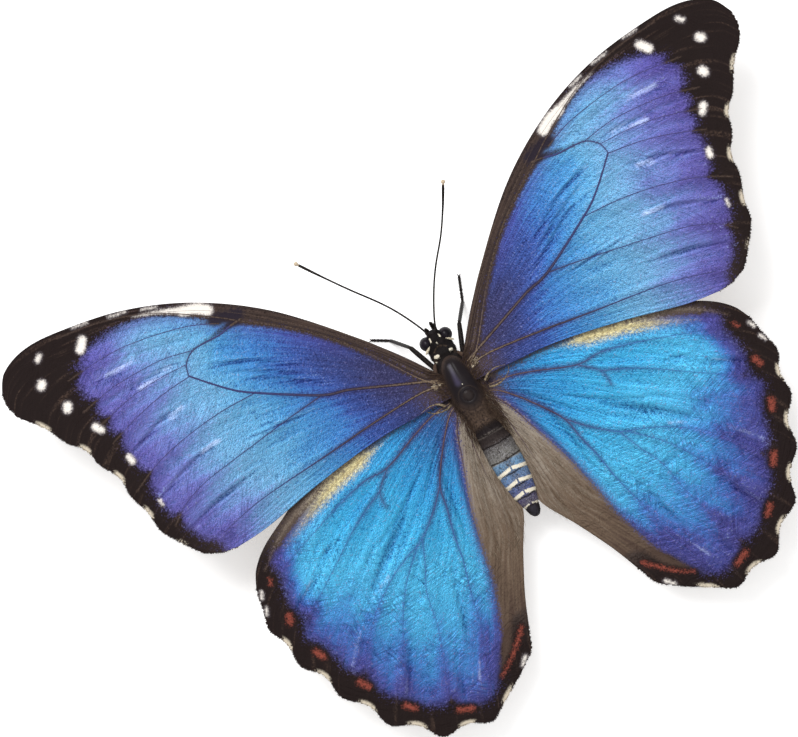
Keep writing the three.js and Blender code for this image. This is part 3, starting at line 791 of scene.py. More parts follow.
HINDWING = {
    "hinge": (3, -1),
    "costa": [(1.4, -0.4), (4, 1.2), (9, 2.6), (17, 2.3), (26, 0), (33, -3.7), (37.8, -6.2), (40.6, -8.6),
              (42, -11.1)],
    "inner": [(1.4, -3.6), (2.1, -6.5), (2.1, -10), (2.1, -14), (1.8, -17.6), (1.9, -20.5), (4.9, -25.8),
              (7.7, -31.3), (9.5, -35.7)],
    "lobes": [(9.5, -35.7), (13.8, -41.2), (21, -45.6), (28.6, -44), (34.8, -38.5), (38.9, -31.4),
              (42, -24.2), (43.4, -17.4), (42, -11.1)],
    "bays": [-0.9, 0.1, 1, 1.1, 1.1, 1.1, 0.8, 0.1],
    "drop": 1.0,  # how far the hindwing lies under the forewing
    "veins": [
        ([(3.5, -1.2), (6.8, -1.6), (10.3, -2.7), (16.3, -5), (20.3, -5.1), (25.3, -6.3), (30.3, -8),
          (36, -10)], 0.17, 0.05),
        ([(16.3, -5), (19, -7.5), (19.4, -10)], 0.09, 0.06),
        ([(19, -7.5), (24.3, -10), (30.3, -14), (37, -18.5)], 0.09, 0.05),
        ([(3.2, -2), (4.8, -3), (7.8, -6.5), (10.8, -11), (11.6, -14.5), (12.6, -18.5), (13.3, -22.5),
          (14.8, -28), (15.8, -33), (18.3, -39.5)], 0.19, 0.05),
        ([(10.8, -11), (13.3, -13.7), (17, -16.7), (20.3, -18), (24.3, -20), (29.5, -24), (34, -30)],
         0.12, 0.05),
        ([(17, -16.7), (18.6, -20.5), (20.3, -24), (21.3, -29), (23.3, -35), (25, -40)], 0.09, 0.05),
        ([(18, -17.2), (22.4, -21.5), (26, -27), (29.8, -35)], 0.08, 0.05),
        ([(3, -2.6), (4.8, -5.5), (6.3, -10), (8.3, -16), (9.8, -22), (10.9, -27), (12.3, -31.5),
          (14.6, -37.5)], 0.16, 0.05),
        ([(2.8, -3.2), (3.6, -8), (4.2, -14), (4.8, -20), (7.3, -26.5), (10.4, -33.5)], 0.12, 0.06),
        ([(3.5, -0.6), (8, 1.2), (15, 1.2), (23, -0.6), (30, -3.8), (36, -7.2)], 0.12, 0.06),
    ],
    "root_ring": ([(3.5, -1.5), (4.4, -1.78), (5.4, -1.72), (6.4, -1.4), (7.2, -0.7), (7.5, 0.1)],
                  0.24, 0.07),
    "folds": [
        ([(17, -12), (24, -17), (29, -21.5)], 0.6, 0.14),
        ([(33.5, -14), (36, -15.2), (39, -17)], 0.5, 0.12),
        ([(31, -24), (34.5, -29)], 0.5, 0.11),
        ([(27, -30), (29.8, -36)], 0.5, 0.11),
        ([(22, -36), (22.8, -40)], 0.5, 0.11),
        ([(12.5, -8), (19, -12.2), (25, -15)], 0.35, 0.08),
        ([(15, -22), (17, -28), (18.5, -34)], 0.35, 0.09),
        ([(9, -7), (10.4, -14), (11, -20)], 0.35, 0.08),
        ([(27, -10.5), (33, -12)], 0.3, 0.07),
        ([(3.8, -7), (5.6, -15), (8, -24), (11, -33)], 0.8, 0.25),
        ([(5.7, -6.5), (7.8, -12.5), (9.4, -20)], 0.4, 0.1),
        ([(6.8, -4), (11, -8.5), (14.5, -12.5)], 0.35, 0.07),
    ],
    "front_edge": [(1, 0.2), (6, -0.2), (12, -0.7), (18, -1.4), (24, -2.6), (30, -4.8), (35.3, -6.7),
                   (38.1, -8.9)],
    "border": [(38.1, -8.9), (37.7, -11), (38.3, -13.5), (38.5, -16), (37.8, -18.5), (38.8, -21),
               (37.3, -23), (36.3, -26), (35.8, -28), (33.8, -31), (32.8, -34), (30.3, -36.2),
               (27.8, -38.8), (24.3, -40.3), (21.3, -42), (19.5, -42), (17.5, -40.5), (16, -38.5),
               (14.5, -36.5)],
    "scallop": 0.9,
    "creams": [0.4, 1, 1, 1, 1, 1, 1, 0.4],
    "veined": 0.06,
    "young": ([([(24, -8), (31, -11.5), (38, -15)], 2.5, 4)], 0.19),
    "fold_edge": [(2.2, -0.6), (3.2, -3), (4.85, -5.8), (6.35, -10.2), (8.35, -16.2), (9.85, -22),
                  (10.85, -27), (12.35, -31.5), (13.85, -35.3), (15.9, -38.6), (17.2, -41)],
    "pale": [
        ([(41.6, -12), (42, -12.8)], 0.22, 0.22),
        ([(42.1, -14.4), (42.5, -15.2)], 0.2, 0.2),
        ([(12.2, -39.4), (13.2, -40.4)], 0.26, 0.22),
    ],
    # Painted glints: pale highlights painted along ridges and creases.
    "frost": [
        ([(24.1, -19.1), (27.9, -21)], -0.15, -0.3),
        ([(31.6, -24.1), (35.3, -27.9)], -0.2, -0.3),
        ([(34.1, -18.5), (37.8, -21.6)], -0.25, -0.3),
        ([(34.4, -14.1), (37.8, -16.6)], -0.25, -0.3),
        ([(27.2, -29.8), (30.3, -36)], -0.2, -0.3),
        ([(20.3, -37.9), (22.8, -41)], -0.35, -0.4),
        ([(17.2, -32.9), (19.7, -39)], -0.35, -0.4),
    ],
    "rust": [
        ([(39.5, -11), (39.9, -11.6)], 0.2, 0.15),
        ([(39.7, -17), (40.1, -18)], 0.42, 0.4),
        ([(38.9, -23.6), (38.3, -24.8)], 0.42, 0.4),
        ([(35.4, -30.7), (34.6, -31.9)], 0.42, 0.4),
        ([(31.2, -37.1), (30.2, -38.1)], 0.4, 0.36),
        ([(24.6, -41.5), (22.8, -42.3)], 0.4, 0.36),
        ([(16.6, -40.3), (14, -38.6), (11.6, -36.4), (10.6, -35.4)], 0.1, 0.26),
    ],
    "sand": [([(13.5, -1.1), (19.5, -2.2)], -0.9, 1), ([(19.5, -2.2), (24.2, -3.3)], 1, 0.95),
             ([(24.2, -3.3), (29, -5)], 0.95, 0.7), ([(29, -5), (35.5, -8)], 0.7, -0.3)],
    "smoke": [([(14, 0.8), (20, -0.6), (27, -2.8), (33, -5), (36.5, -7), (39.5, -9.4)], 0.5, -0.1)],
    # A painted shadow: a dark patch at the root, under the forewing's rear edge.
    "soot": [([(3.6, -0.9), (5, -0.6)], 0.5, 0.1)],
    "eyespots": [(16.5, -34.5, 2.9), (25.5, -33, 2.6), (31.5, -26.5, 3.0), (35.5, -13.5, 3.0)],
}

HINDWING_BLUES = [
    (0.12, (46, 94, 148)), (0.28, (50, 143, 197)), (0.45, (62, 165, 212)), (0.62, (79, 180, 223)),
    (0.72, (75, 166, 213)), (0.8, (69, 134, 196)), (0.87, (70, 104, 174)), (0.92, (74, 80, 148)),
    (1.0, (68, 66, 128)),
]
HINDWING_POSE = {"right": (0, (0, 0)), "left": (0, (-0.8, 0.4))}
HINDWING_YOUNGER = {"right": 0, "left": 0.05}  # the pale blue reaches further out on the left hindwing
hindwing_finish = wing_finish("hindwing scales", HINDWING_BLUES, strip=(84, 72, 66), black_from=29,
                              creased=0.8, pleat_shade=0.6, root_reach=4.3)
hindwing_vein_finish = vein_finish(
    "hindwing vein",
    [(0.0, (52, 38, 42)), (0.25, (56, 46, 72)), (0.45, (52, 84, 144)), (0.7, (58, 90, 156)),
     (0.95, (62, 62, 122))],
    [(0.0, (132, 115, 92)), (0.1, (104, 84, 76)), (0.25, (76, 60, 78)), (0.45, (56, 102, 164)),
     (0.95, (64, 70, 134))],
    lambda far, grain: far.shades([(0.1, (118, 105, 94)), (0.5, (92, 77, 66)), (0.8, (60, 47, 42))]))
pair_of_wings("hindwing", HINDWING, hindwing_finish, hindwing_vein_finish, HINDWING_POSE, HINDWING_YOUNGER)

# ---------------------------------------------------------------- the body
# The thorax, neck, head and abdomen are one hard skin with sutures and overlapping abdominal rings. The top
# of the thorax is bare and glossy, and the rest wears scales: grey, blue and cream over the abdomen, and
# brown at the sides.

# Rear to front: the place along the body, the height of its middle, its half width and its half height.
BODY = [
    (-21.75, 7.14, 0.02, 0.02), (-21.7, 7.14, 0.3, 0.3), (-21.4, 7.15, 0.62, 0.6), (-20.8, 7.18, 0.95, 0.92),
    (-19.7, 7.24, 1.22, 1.2), (-17.9, 7.3, 1.78, 1.72), (-15.9, 7.38, 2.14, 2.08), (-13.9, 7.45, 2.36, 2.28),
    (-11.8, 7.52, 2.46, 2.38), (-9.7, 7.6, 2.42, 2.36), (-7.8, 7.66, 2.2, 2.14), (-6.2, 7.72, 1.96, 1.92),
    (-5.1, 7.78, 1.9, 1.84), (-3.4, 7.9, 2.25, 2.2), (-1.0, 8.0, 2.62, 2.62), (1.5, 8.05, 2.72, 2.74),
    (3.8, 8.05, 2.46, 2.4), (5.0, 8.02, 2.1, 1.86), (5.55, 8.0, 1.95, 1.6), (6.2, 8.02, 2.06, 1.76),
    (6.75, 8.05, 1.98, 1.55), (7.1, 8.05, 2.0, 1.5), (7.5, 8.1, 1.95, 1.58), (7.95, 8.12, 1.72, 1.62),
    (8.4, 8.1, 1.38, 1.58), (9.2, 8.02, 1.12, 1.34), (9.75, 7.95, 0.8, 0.95), (10.0, 7.95, 0.42, 0.5),
    (10.05, 7.95, 0.02, 0.02),
]
REAR, FRONT = BODY[0][0], BODY[-1][0]
BODY_STEPS = (120, 420)  # how finely the skin is divided, round the body and along it
MID_HEIGHT = 7.8  # the body's middle, about
RING_JOINTS = (-6.1, -7.6, -9.4, -12.1, -14.3, -16.3, -18.3, -19.8)  # between the rings of the abdomen
RING_BOW = 0.09  # how far those joints bow back towards the sides
ABDOMEN_SET = 0.38  # the abdomen lies this far to the right of the body's line
SHIELD = (0.15, 1.0, 4.5, 2.5, 0.35)  # over the thorax: its middle, half length, half width and taper
BUTTON = (0.14, -1.15, 0.85)  # the round plate at its rear: where its middle is, and its radius
HALO = 0.75  # a groove runs round the button, this far outside it in shares of its radius
CREAM_BANDS = ((-13.6, 0.28), (-15.68, 0.28), (-17.62, 0.28), (-19.55, 0.12))  # middle and half width
CREAM_SPOTS = [
    ([(-1.34, 6.16), (-0.95, 6.14)], 0.26, 0.24), ([(1.1, 6.17), (1.32, 6.17)], 0.19, 0.17),
    ([(-0.82, 8.98), (-0.84, 8.5)], 0.1, 0.12), ([(0.68, 9.0), (0.76, 8.6)], 0.1, 0.12),
    ([(-0.15, 8.0), (-0.1, 7.98)], 0.09, 0.08), ([(-1.7, 5.45), (-1.6, 5.4)], 0.08, 0.08),
    ([(0.15, 0.85), (0.15, 0.75)], 0.02, 0.06),
]
BROWN_ARCS = [([(-1.2, 6.85), (-0.75, 7.25), (-0.15, 7.4), (0.45, 7.25), (0.85, 6.85)], 0.05, 0.04),
              ([(-1.75, 5.75), (-1.45, 5.5)], 0.12, 0.1), ([(1.75, 5.75), (1.5, 5.5)], 0.12, 0.1)]
# A painted highlight: a bluish streak of reflected light down the glossy shield, left of its middle.
PAINTED_SHEEN = [([(-0.35, 1.2), (-0.32, 2.2), (-0.2, 4.2)], 0.3, -0.1)]


COLOURS_FROM, COLOURS_OVER = -22.0, 32  # the stretch of the body that these colours run along, from the tail
BACK_BANDS = [
    (0.0, (18, 14, 15)), (0.062, (22, 17, 20)), (0.07, (92, 84, 104)), (0.11, (84, 78, 110)),
    (0.125, (84, 90, 140)), (0.175, (86, 104, 152)), (0.2, (98, 126, 168)), (0.24, (98, 132, 172)),
    (0.27, (100, 140, 176)), (0.302, (112, 148, 180)), (0.308, (150, 142, 128)), (0.32, (118, 116, 112)),
    (0.39, (84, 80, 79)), (0.4, (52, 44, 42)), (0.442, (40, 33, 32)), (0.452, (112, 104, 98)),
    (0.46, (34, 28, 29)), (0.486, (30, 24, 25)), (0.51, (84, 68, 57)), (0.58, (70, 56, 47)),
    (0.79, (46, 36, 33)), (0.84, (24, 19, 18)), (0.9, (16, 13, 14)), (1.0, (14, 11, 13)),
]
FLANKS = [(0.0, (30, 26, 26)), (0.1, (112, 104, 98)), (0.4, (104, 96, 90)), (0.5, (84, 72, 64)),
          (0.8, (70, 60, 54)), (0.9, (28, 24, 24)), (1.0, (18, 15, 16))]
BARE_PLATES = [(0.35, (58, 46, 41)), (0.6, (43, 35, 33)), (0.85, (32, 26, 27)), (1.0, (26, 21, 24))]


def body_bend(y):
    return ABDOMEN_SET * ease(-y, 4, 10)


def plates(x, y):
    """How far inside the egg-shaped shield and the round button a place lies, as shares of their size."""
    middle_x, middle_y, half_length, half_width, taper = SHIELD
    along = (y - middle_y) / half_length
    widest = half_width * (1 - taper * np.clip(along, 0, 1))
    shield = 1 - np.hypot(np.abs(along) ** np.where(along > 0, 2.2, 1.3), (x - middle_x) / widest)
    return shield, 1 - np.hypot(x - BUTTON[0], y - BUTTON[1]) / BUTTON[2]


def body_form(y, angle):
    """Places on the bare skin, at an angle up from the right-hand side."""
    stations = smooth_line(BODY, 900)
    height, wide, tall = (np.interp(y, stations[:, 0], stations[:, k]) for k in (1, 2, 3))
    x, up = wide * np.cos(angle), np.sin(angle)
    shield, button = plates(x, y)
    # On top: the shield and the button with a groove round each, and a seam down the shield.
    lift = 0.16 * ease(shield, 0, 0.4) - 0.07 * hump(shield, 0.04) + 0.1 * ease(button, 0, 0.5)
    lift -= 0.1 * hump(button, 0.09) + 0.07 * hump(button + HALO, 0.1) * ease(y, -3, -1)
    lift -= 0.04 * hump(x - 0.3, 0.07) * ease(shield, 0, 0.3) * (1 - ease(button, -1.2, -0.8))
    # The collar's two lobes, and the furrows between the eyes.
    lift += 0.12 * hump(np.abs(x) - 1.1, 0.6) * ease(y, 5.4, 5.8) * (1 - ease(y, 6.6, 7))
    lift -= 0.12 * hump(np.abs(x) - 0.35, 0.14) * ease(y, 7.4, 8) * (1 - ease(y, 9, 9.6))
    lift *= ease(up, 0.1, 0.8)
    for joint in RING_JOINTS:
        behind = y - joint - RING_BOW * np.abs(x)
        lift += 0.09 * np.exp(-np.abs(behind) / 0.5) * (behind > 0) - 0.05 * hump(behind, 0.1)
    return np.column_stack([x + lift * np.cos(angle) + body_bend(y), y, height + (tall + lift) * up])


def body_fields(y, angle):
    """What the finish of skin and hairs needs to know at each place: the marks, the plates and the bands."""
    x, up = body_form(y, angle)[:, 0] - body_bend(y), np.sin(angle)
    top = ease(up, 0.0, 0.45)
    plan = np.column_stack([x, y])
    slant = y + 0.2 * np.abs(x)
    bands = np.max([half - np.abs(slant - middle) for middle, half in CREAM_BANDS], axis=0)
    bands = np.minimum(bands, np.abs(x) - 0.12 - 0.1 * (slant < -19))
    cream = np.maximum(np.where(y > -4, marks(plan, CREAM_SPOTS, 1.0), -1), np.where(y < -12, bands, -1))
    shield, button = plates(x, y)
    gloss = ease(shield, -0.04, 0.05) * (0.4 + 0.6 * ease(shield, 0.05, 0.42))
    gloss = np.where(button > 0, 0.78, np.where(np.abs(button + HALO) < 0.12, 0.62, gloss))
    return {
        "along": y,
        "aside": np.abs(x),
        "top": top,
        "cream": np.where(top > 0, cream, -1),
        "plate": gloss * ease(up, 0.3, 0.5),
        "arc": marks(plan, BROWN_ARCS, 1.0),
        "painted_sheen": marks(plan, PAINTED_SHEEN, 1.0),
        "seam": np.min([np.abs(y - joint - RING_BOW * np.abs(x) + 0.06) for joint in RING_JOINTS], axis=0),
    }


def body_finish():
    """Scales in bands over a dark skin, with the bare plates left glossy and a highlight painted on the
    shield.
    """
    finish = Finish("body scales", 0.6, 0.13)
    fine, dust, cloud = finish.speckle(0.13), finish.speckle(0.3, 2), finish.speckle(1.4, 2)
    along, aside, top, plate = finish.fields("along", "aside", "top", "plate")
    painted_sheen, seam, arc, cream = finish.fields("painted_sheen", "seam", "arc", "cream")
    where = 0.008 * fine + (along - COLOURS_FROM) * (1 / COLOURS_OVER)
    # The bare plates, with a bluish highlight painted along the shield.
    bare = paint((0.3 * cloud + plate).shades(BARE_PLATES), (painted_sheen.rise(-0.5, 0.3, 0.6), (66, 60, 86)))
    pearly = fine.rise(0.04, 0.2, 0.7) * along.rise(-8.5, -10) * along.rise(-20, -19.4)
    coat = paint(
        where.shades(BACK_BANDS),
        (aside.rise(1.1, 0.2, 0.5) * along.rise(-11, -12.5), (62, 60, 70)),
        (top.rise(0.55, 0.1), where.shades(FLANKS)),
        (1.4 * cloud + (2.6 * dust + 0.22), (28, 22, 22)),
        (pearly, (152, 150, 154)),
        (plate.rise(0.1, 0.4), bare),
        (seam.rise(0.2, 0.05) * along.rise(-5, -7, 0.85), (24, 18, 18)),
        ((0.3 * dust + arc).rise(-0.14, 0.06, 0.55), (78, 64, 53)),
        ((0.16 * fine + cream).rise(-0.05, 0.06), (224, 216, 196)),
    )
    return finish.wear({
        "Base Color": coat,
        "Roughness": -0.46 * plate + 0.74,
        "Normal": finish.bump(0.5, 0.06, (fine + dust) * (-1.0 * plate + 1.05)),
    })


SKIN_MAP_EDGE, SKIN_MAP_SIZE = 0.02, (0.94, 0.96)  # where the skin lies on its OFBake map, and its size


def body_map(y, angle):
    """A place on the body's own flattened skin, slit along its left side."""
    places = np.column_stack([(angle + math.pi) / (2 * math.pi), (y - REAR) / (FRONT - REAR)])
    return SKIN_MAP_EDGE + SKIN_MAP_SIZE * places


body_scales = body_finish()
bm = bmesh.new()
bmesh.ops.create_uvsphere(bm, u_segments=BODY_STEPS[0], v_segments=BODY_STEPS[1], radius=1)
body = mesh_object("body_skin", bm)
ball = corners_of(body.data)
body_y = REAR + (FRONT - REAR) * np.arccos(np.clip(ball[:, 2], -1, 1)) / math.pi
body_angle = np.arctan2(ball[:, 1], ball[:, 0])
set_corners(body.data, body_form(body_y, body_angle))
keep_fields(body.data, body_fields(body_y, body_angle))
corner, face_start, owner = faces_of(body.data)
turns = body_angle[corner]
widest = np.maximum.reduceat(turns, face_start)[owner]
wrapped = np.where((widest > 2) & (turns < -2), turns + 2 * math.pi, turns)
at_pole = np.abs(ball[corner, 2]) > 0.99999
keep_map(body.data, body_map(body_y[corner], np.where(at_pole, widest, wrapped)))
recalculated(body.data)
fit(body, body_scales)
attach(body, "root")
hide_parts("thorax", "collar", "head", "abdomen")

# ---------------------------------------------------------------- the hairs
# Short hairs and scales grow over the skin: brown and shaggy on the thorax round its bare plates, short on
# the head, and flat and overlapping on the abdomen. They take the colours of the skin they grow from.

TUFT_PATCH = 0.0015  # half the length of a tuft's patch on the OFBake map


def make_tufts(name, roots, ways, lifts, sizes, fields, places_on_map):
    """Flat tapering tufts bent towards the skin: their roots, the ways they lie and stand, their sizes."""
    bm = bmesh.new()
    bmesh.ops.create_uvsphere(bm, u_segments=3, v_segments=4, radius=1)
    bmesh.ops.triangulate(bm, faces=bm.faces[:])
    one = bpy.data.meshes.new("one tuft")
    bm.to_mesh(one)
    bm.free()
    shape, faces = corners_of(one), read(one.polygons, "vertices", 3)
    bpy.data.meshes.remove(one)
    reach = (1 - shape[:, 2]) / 2
    width = np.hypot(shape[:, 0], shape[:, 1]) * (1 - 0.55 * reach)
    turn = np.arctan2(shape[:, 1], shape[:, 0])
    length, breadth = sizes[:, :1], sizes[:, 1:]
    stands = length * (0.34 * reach - 0.26 * reach**2) + 0.3 * breadth * width * np.sin(turn)
    aside = breadth * width * np.cos(turn)
    places = roots[:, None] + ways[:, None] * (length * reach)[..., None] + lifts[:, None] * stands[..., None]
    places += np.cross(lifts, ways)[:, None] * aside[..., None]
    count, per = len(roots), len(shape)
    mesh = bpy.data.meshes.new(name)
    mesh.vertices.add(count * per)
    mesh.loops.add(count * len(faces))
    mesh.polygons.add(count * len(faces) // 3)
    all_faces = (faces[None] + per * np.arange(count)[:, None]).ravel().astype(np.int32)
    mesh.loops.foreach_set("vertex_index", all_faces)
    mesh.polygons.foreach_set("loop_start", np.arange(0, len(all_faces), 3, dtype=np.int32))
    set_corners(mesh, places)
    mesh.update(calc_edges=True)
    keep_fields(mesh, {field: np.repeat(values, per) for field, values in fields.items()})
    patch = TUFT_PATCH * np.column_stack([np.cos(turn) * width, 2 * reach - 1])
    keep_map(mesh, (places_on_map[:, None] + patch[None]).reshape(-1, 2)[read(mesh.loops, "vertex_index")])
    return new_piece(name, mesh)


chance = np.random.default_rng(7)


def body_tufts(name, count, rear, front, grows, length, breadth, stray):
    """Tufts over a length of the body, thick where grows(y, angle) is near 1, lying towards the tail."""
    y = chance.uniform(rear, front, 4 * count)
    angle = chance.uniform(-math.pi, math.pi, 4 * count)
    kept = np.flatnonzero(chance.random(4 * count) < grows(y, angle))[:count]
    y, angle = y[kept], angle[kept]
    here = body_form(y, angle)
    back, round_it = body_form(y - 0.05, angle) - here, body_form(y, angle + 0.02) - here
    up = unit(np.cross(round_it, back))
    outward = here - np.column_stack([body_bend(y), y, np.full(len(y), MID_HEIGHT)])
    up *= np.sign((up * outward).sum(1))[:, None]
    way = unit(unit(back) + chance.normal(0, stray, (len(y), 3)) + up * stray * 0.6)
    up = unit(up - way * (up * way).sum(1)[:, None])
    sizes = np.column_stack([length(y, angle), np.full(len(y), breadth)])
    sizes *= chance.uniform(0.7, 1.25, (len(y), 1))
    tufts = make_tufts(name, here - 0.03 * up, way, up, sizes, body_fields(y, angle), body_map(y, angle))
    fit(tufts, body_scales)
    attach(tufts, "root")


def off_the_plates(y, angle):
    """How thickly hair grows on the thorax: not on the glossy plates, and most at the sides and below."""
    return (1 - body_fields(y, angle)["plate"]) * (0.25 + 0.75 * ease(-np.sin(angle), -0.9, -0.3))


body_tufts("thorax_hair", 7000, -5.6, 5.2, off_the_plates,
           lambda y, angle: 0.5 + 0.5 * ease(-np.sin(angle), -0.7, 0), breadth=0.05, stray=0.22)
body_tufts("abdomen_scales", 10800, -21.5, -5.4, lambda y, angle: 0.8,
           lambda y, angle: 0.2 + 0.3 * ease(y, -8, -6), breadth=0.055, stray=0.07)
body_tufts("head_hair", 3500, 5.3, 9.7, lambda y, angle: 0.7,
           lambda y, angle: 0.26 + 0.2 * ease(-np.sin(angle), -0.3, 0.5), breadth=0.035, stray=0.16)

# ---------------------------------------------------------------- the hairs of the wings
# Brown hairs clothe the wing roots beside the body, and longer, paler ones lie along the hindwing's fold.
# Each outer margin has a fringe of long narrow scales, dark at the vein ends and cream in the bays between.

finish = Finish("wing hairs", 0.7, 0.1)
tinge = 0.25 * finish.speckle(0.3, 2) + finish.fields("shade")[0]
tinge = tinge.shades([(0.0, (40, 30, 28)), (0.3, (66, 51, 43)), (0.5, (98, 82, 67)),
                      (0.75, (150, 136, 116)), (1.0, (214, 203, 184))])
hair_finish = finish.wear({"Base Color": tinge})
FRINGE_LENGTH, FRINGE_WIDTH = 0.22, 0.07
chance = np.random.default_rng(11)


def wing_hairs(kind, side, fringe, patches):
    """A fringe, and patches: how many hairs, where, the way they lie, their length, width and shade."""
    fields, (plan, middle, thickness) = held[kind, side]
    found = []
    for count, where, way, length, breadth, shade in patches:
        share = np.clip(where(fields["plan"][:, 0], fields["plan"][:, 1], fields), 0, None)
        at = chance.choice(len(plan), count, p=share / share.sum())
        lie = np.array([*way, 0.12]) + chance.normal(0, 0.2, (count, 3)) * (1, 1, 0.3)
        root = plan[at] + chance.normal(0, 0.12, (count, 2))
        root = np.column_stack([root, middle[at] + 0.5 * thickness[at]])
        found.append((at, root, lie, np.tile((length, breadth), (count, 1)), np.full(count, shade)))
    rows = WING_STEPS[1] + 1
    rim = np.arange(len(plan) - rows, len(plan))
    turn = np.gradient(plan[rim], axis=0)
    outward = unit(np.column_stack([turn[:, 1], -turn[:, 0]]))
    j = np.sort(chance.uniform(0, rows - 1.001, fringe))
    edge, outward = (sampled(j, np.arange(rows), line) for line in (plan[rim], outward))
    level = np.interp(j, np.arange(rows), middle[rim]) + chance.uniform(-0.06, 0.06, fringe)
    lie = np.column_stack([outward, np.zeros(fringe)]) + chance.normal(0, 0.12, (fringe, 3)) * (1, 1, 0.4)
    at = rim[np.rint(j).astype(int)]
    cream = ease(fields["notch"][at] + chance.normal(0, 0.08, fringe), 0.66, 0.9)
    found.append((at, np.column_stack([edge - 0.06 * outward, level]), lie,
                  np.tile((FRINGE_LENGTH, FRINGE_WIDTH), (fringe, 1)), 0.05 + 0.75 * cream))
    at, root, lie, sizes, shade = (np.concatenate(column) for column in zip(*found))
    lie = unit(lie)
    up = unit(np.array([0, 0, 1.0]) - lie * lie[:, 2:])
    sizes = sizes * chance.uniform(0.65, 1.3, (len(at), 1))
    fields = {"shade": shade + chance.normal(0, 0.06, len(at))}
    on_map = on_wing_map(at // rows, at % rows, 1)
    hairs = make_tufts(f"{kind}_hairs_{side}", root, lie, up, sizes, fields, on_map)
    fit(hairs, hair_finish, MIRROR[side])
    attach(hairs, "root")


for side in MIRROR:
    wing_hairs("forewing", side, 620, [
        (320, lambda x, y, f: (f["out"] < 6) * (1 - ease(x, 2.4, 4.0)), (0.75, 0.5), 0.8, 0.05, 0.28),
        (90, lambda x, y, f: hump(x - 3.5, 0.25) * hump(y - 2.7, 0.25), (0.8, 0.5), 0.3, 0.09, 0.75),
    ])
    wing_hairs("hindwing", side, 760, [
        (800, lambda x, y, f: (1 - ease(x, 2.4, 3.8)) * (1 - ease(-y, 5, 10)), (0.3, -0.9), 1.1, 0.045, 0.32),
        (260, lambda x, y, f: ease(f["smoke"], 0.3, 1) * ease(f["across"], 0.02, 0.05) * (y < -6) * (y > -24),
         (0.12, -1), 1.4, 0.03, 0.58),
    ])

# ---------------------------------------------------------------- the shoulder flaps
# A long scaly flap, the tegula, lies along each side of the thorax and covers the hinge of the forewing. It
# is a thin curved plate of the same hard skin, brown, with a groove between it and the thorax.

TEGULA = [(1.9, 5.35, 8.8), (2.35, 4.5, 9.25), (2.72, 3.4, 9.6), (2.86, 2.3, 9.72), (2.8, 1.3, 9.6)]
TEGULA_WIDTH, TEGULA_HEIGHT = 0.34, 0.2
CREAM_TIP = 2.35  # its cream scales are here, along the body
swell = np.sin(np.pi * np.linspace(0.12, 0.9, 40)) ** 0.6
flap = (smooth_line(TEGULA, 40), TEGULA_WIDTH * swell, TEGULA_HEIGHT * swell)
for side, mirror in MIRROR.items():
    tegula = bars("tegula_" + side, [flap], 40, 12)
    keep_fields(tegula.data, {"shade": 0.32 + 0.55 * hump(corners_of(tegula.data)[:, 1] - CREAM_TIP, 0.26)})
    fit(tegula, hair_finish, mirror)
    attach(tegula, "root")

# ---------------------------------------------------------------- the eyes
# Each eye is a dome of thousands of tiny hexagonal lenses, dark brown and shiny, set into the side of the
# head, with a rim of cream scales behind it.

EYE = (1.6, 8.5, 8.15)
EYE_RADII = (1.02, 1.08, 1.28)
LENS = 0.1  # the pitch of the lenses
RIM = [(1.38, 8.0, 9.18), (1.75, 7.66, 9.02), (2.15, 7.34, 8.72), (2.42, 7.14, 8.2)]
RIM_WIDTH = {"right": 0.16, "left": 0.2}
finish = Finish("eye lenses", 0.28, 0.14)
grid = {"Vector": finish.places(), "Scale": 1 / (LENS * IN_METRES)}
lens = node(finish.tree, "TexVoronoi", "Distance", grid)
eye_finish = finish.wear({
    "Base Color": paint((13, 10, 17), (finish.speckle(0.8, 2).rise(-0.15, 0.2), (30, 22, 31)),
                        (lens.rise(0.3, 0.75, 0.6), (7, 5, 9))),
    "Normal": finish.bump(0.5, 0.02, lens, invert=True),
})
finish = Finish("rim scales", 0.7, 0.08)
rim_finish = finish.wear({
    "Base Color": paint((120, 104, 82), (finish.speckle(0.12, 2).rise(-0.2, 0.1), (222, 212, 188)))})
for side, mirror in MIRROR.items():
    bm = bmesh.new()
    bmesh.ops.create_icosphere(bm, subdivisions=5, radius=1)
    bmesh.ops.scale(bm, verts=bm.verts[:], vec=EYE_RADII)
    bmesh.ops.translate(bm, verts=bm.verts[:], vec=EYE)
    eye = mesh_object("eye_dome_" + side, bm)
    fit(eye, eye_finish, mirror)
    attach(eye, "root")
    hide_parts("eye_" + side)
    thick = RIM_WIDTH[side] * np.sin(np.pi * np.clip(np.linspace(0.1, 1.02, 40), 0, 1)) ** 0.5
    rim = bars("eye_rim_" + side, [(smooth_line(RIM, 40), thick, 0.7 * thick)], 40, 8)
    fit(rim, rim_finish, mirror)
    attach(rim, "root")

# ---------------------------------------------------------------- the legs, feelers and mouthparts
# A leg is a chain of hollow joints, thigh, shin and five foot joints with a pair of claws, set with short
# spines. The feelers are beaded and end in a slim club. Two hairy palps flank the tongue, which is coiled up
# under the head.

UPWARDS = np.array([0, 0, 1.0])
FOOT_JOINTS = (0, 0.42, 0.6, 0.76, 0.9, 1.0)  # where they start and end, as shares of the foot
SPINE_SPACING = 0.55
PALP_HAIRS = 110


def joint_bar(start, end, thick, waist=0.75):
    """One hollow joint of a limb, narrow at both ends, from start to end."""
    t = np.linspace(0, 1, 16)
    radius = thick * (waist + (1 - waist) * np.sin(np.pi * np.clip(t * 0.9 + 0.05, 0, 1)) ** 0.5)
    return evenly(np.array([start, end], float), 16), radius, radius


def thorn(line, thick, thin):
    """A thin bar that tapers to a point."""
    radius = np.linspace(thick, thin, len(line))
    return line, radius, radius


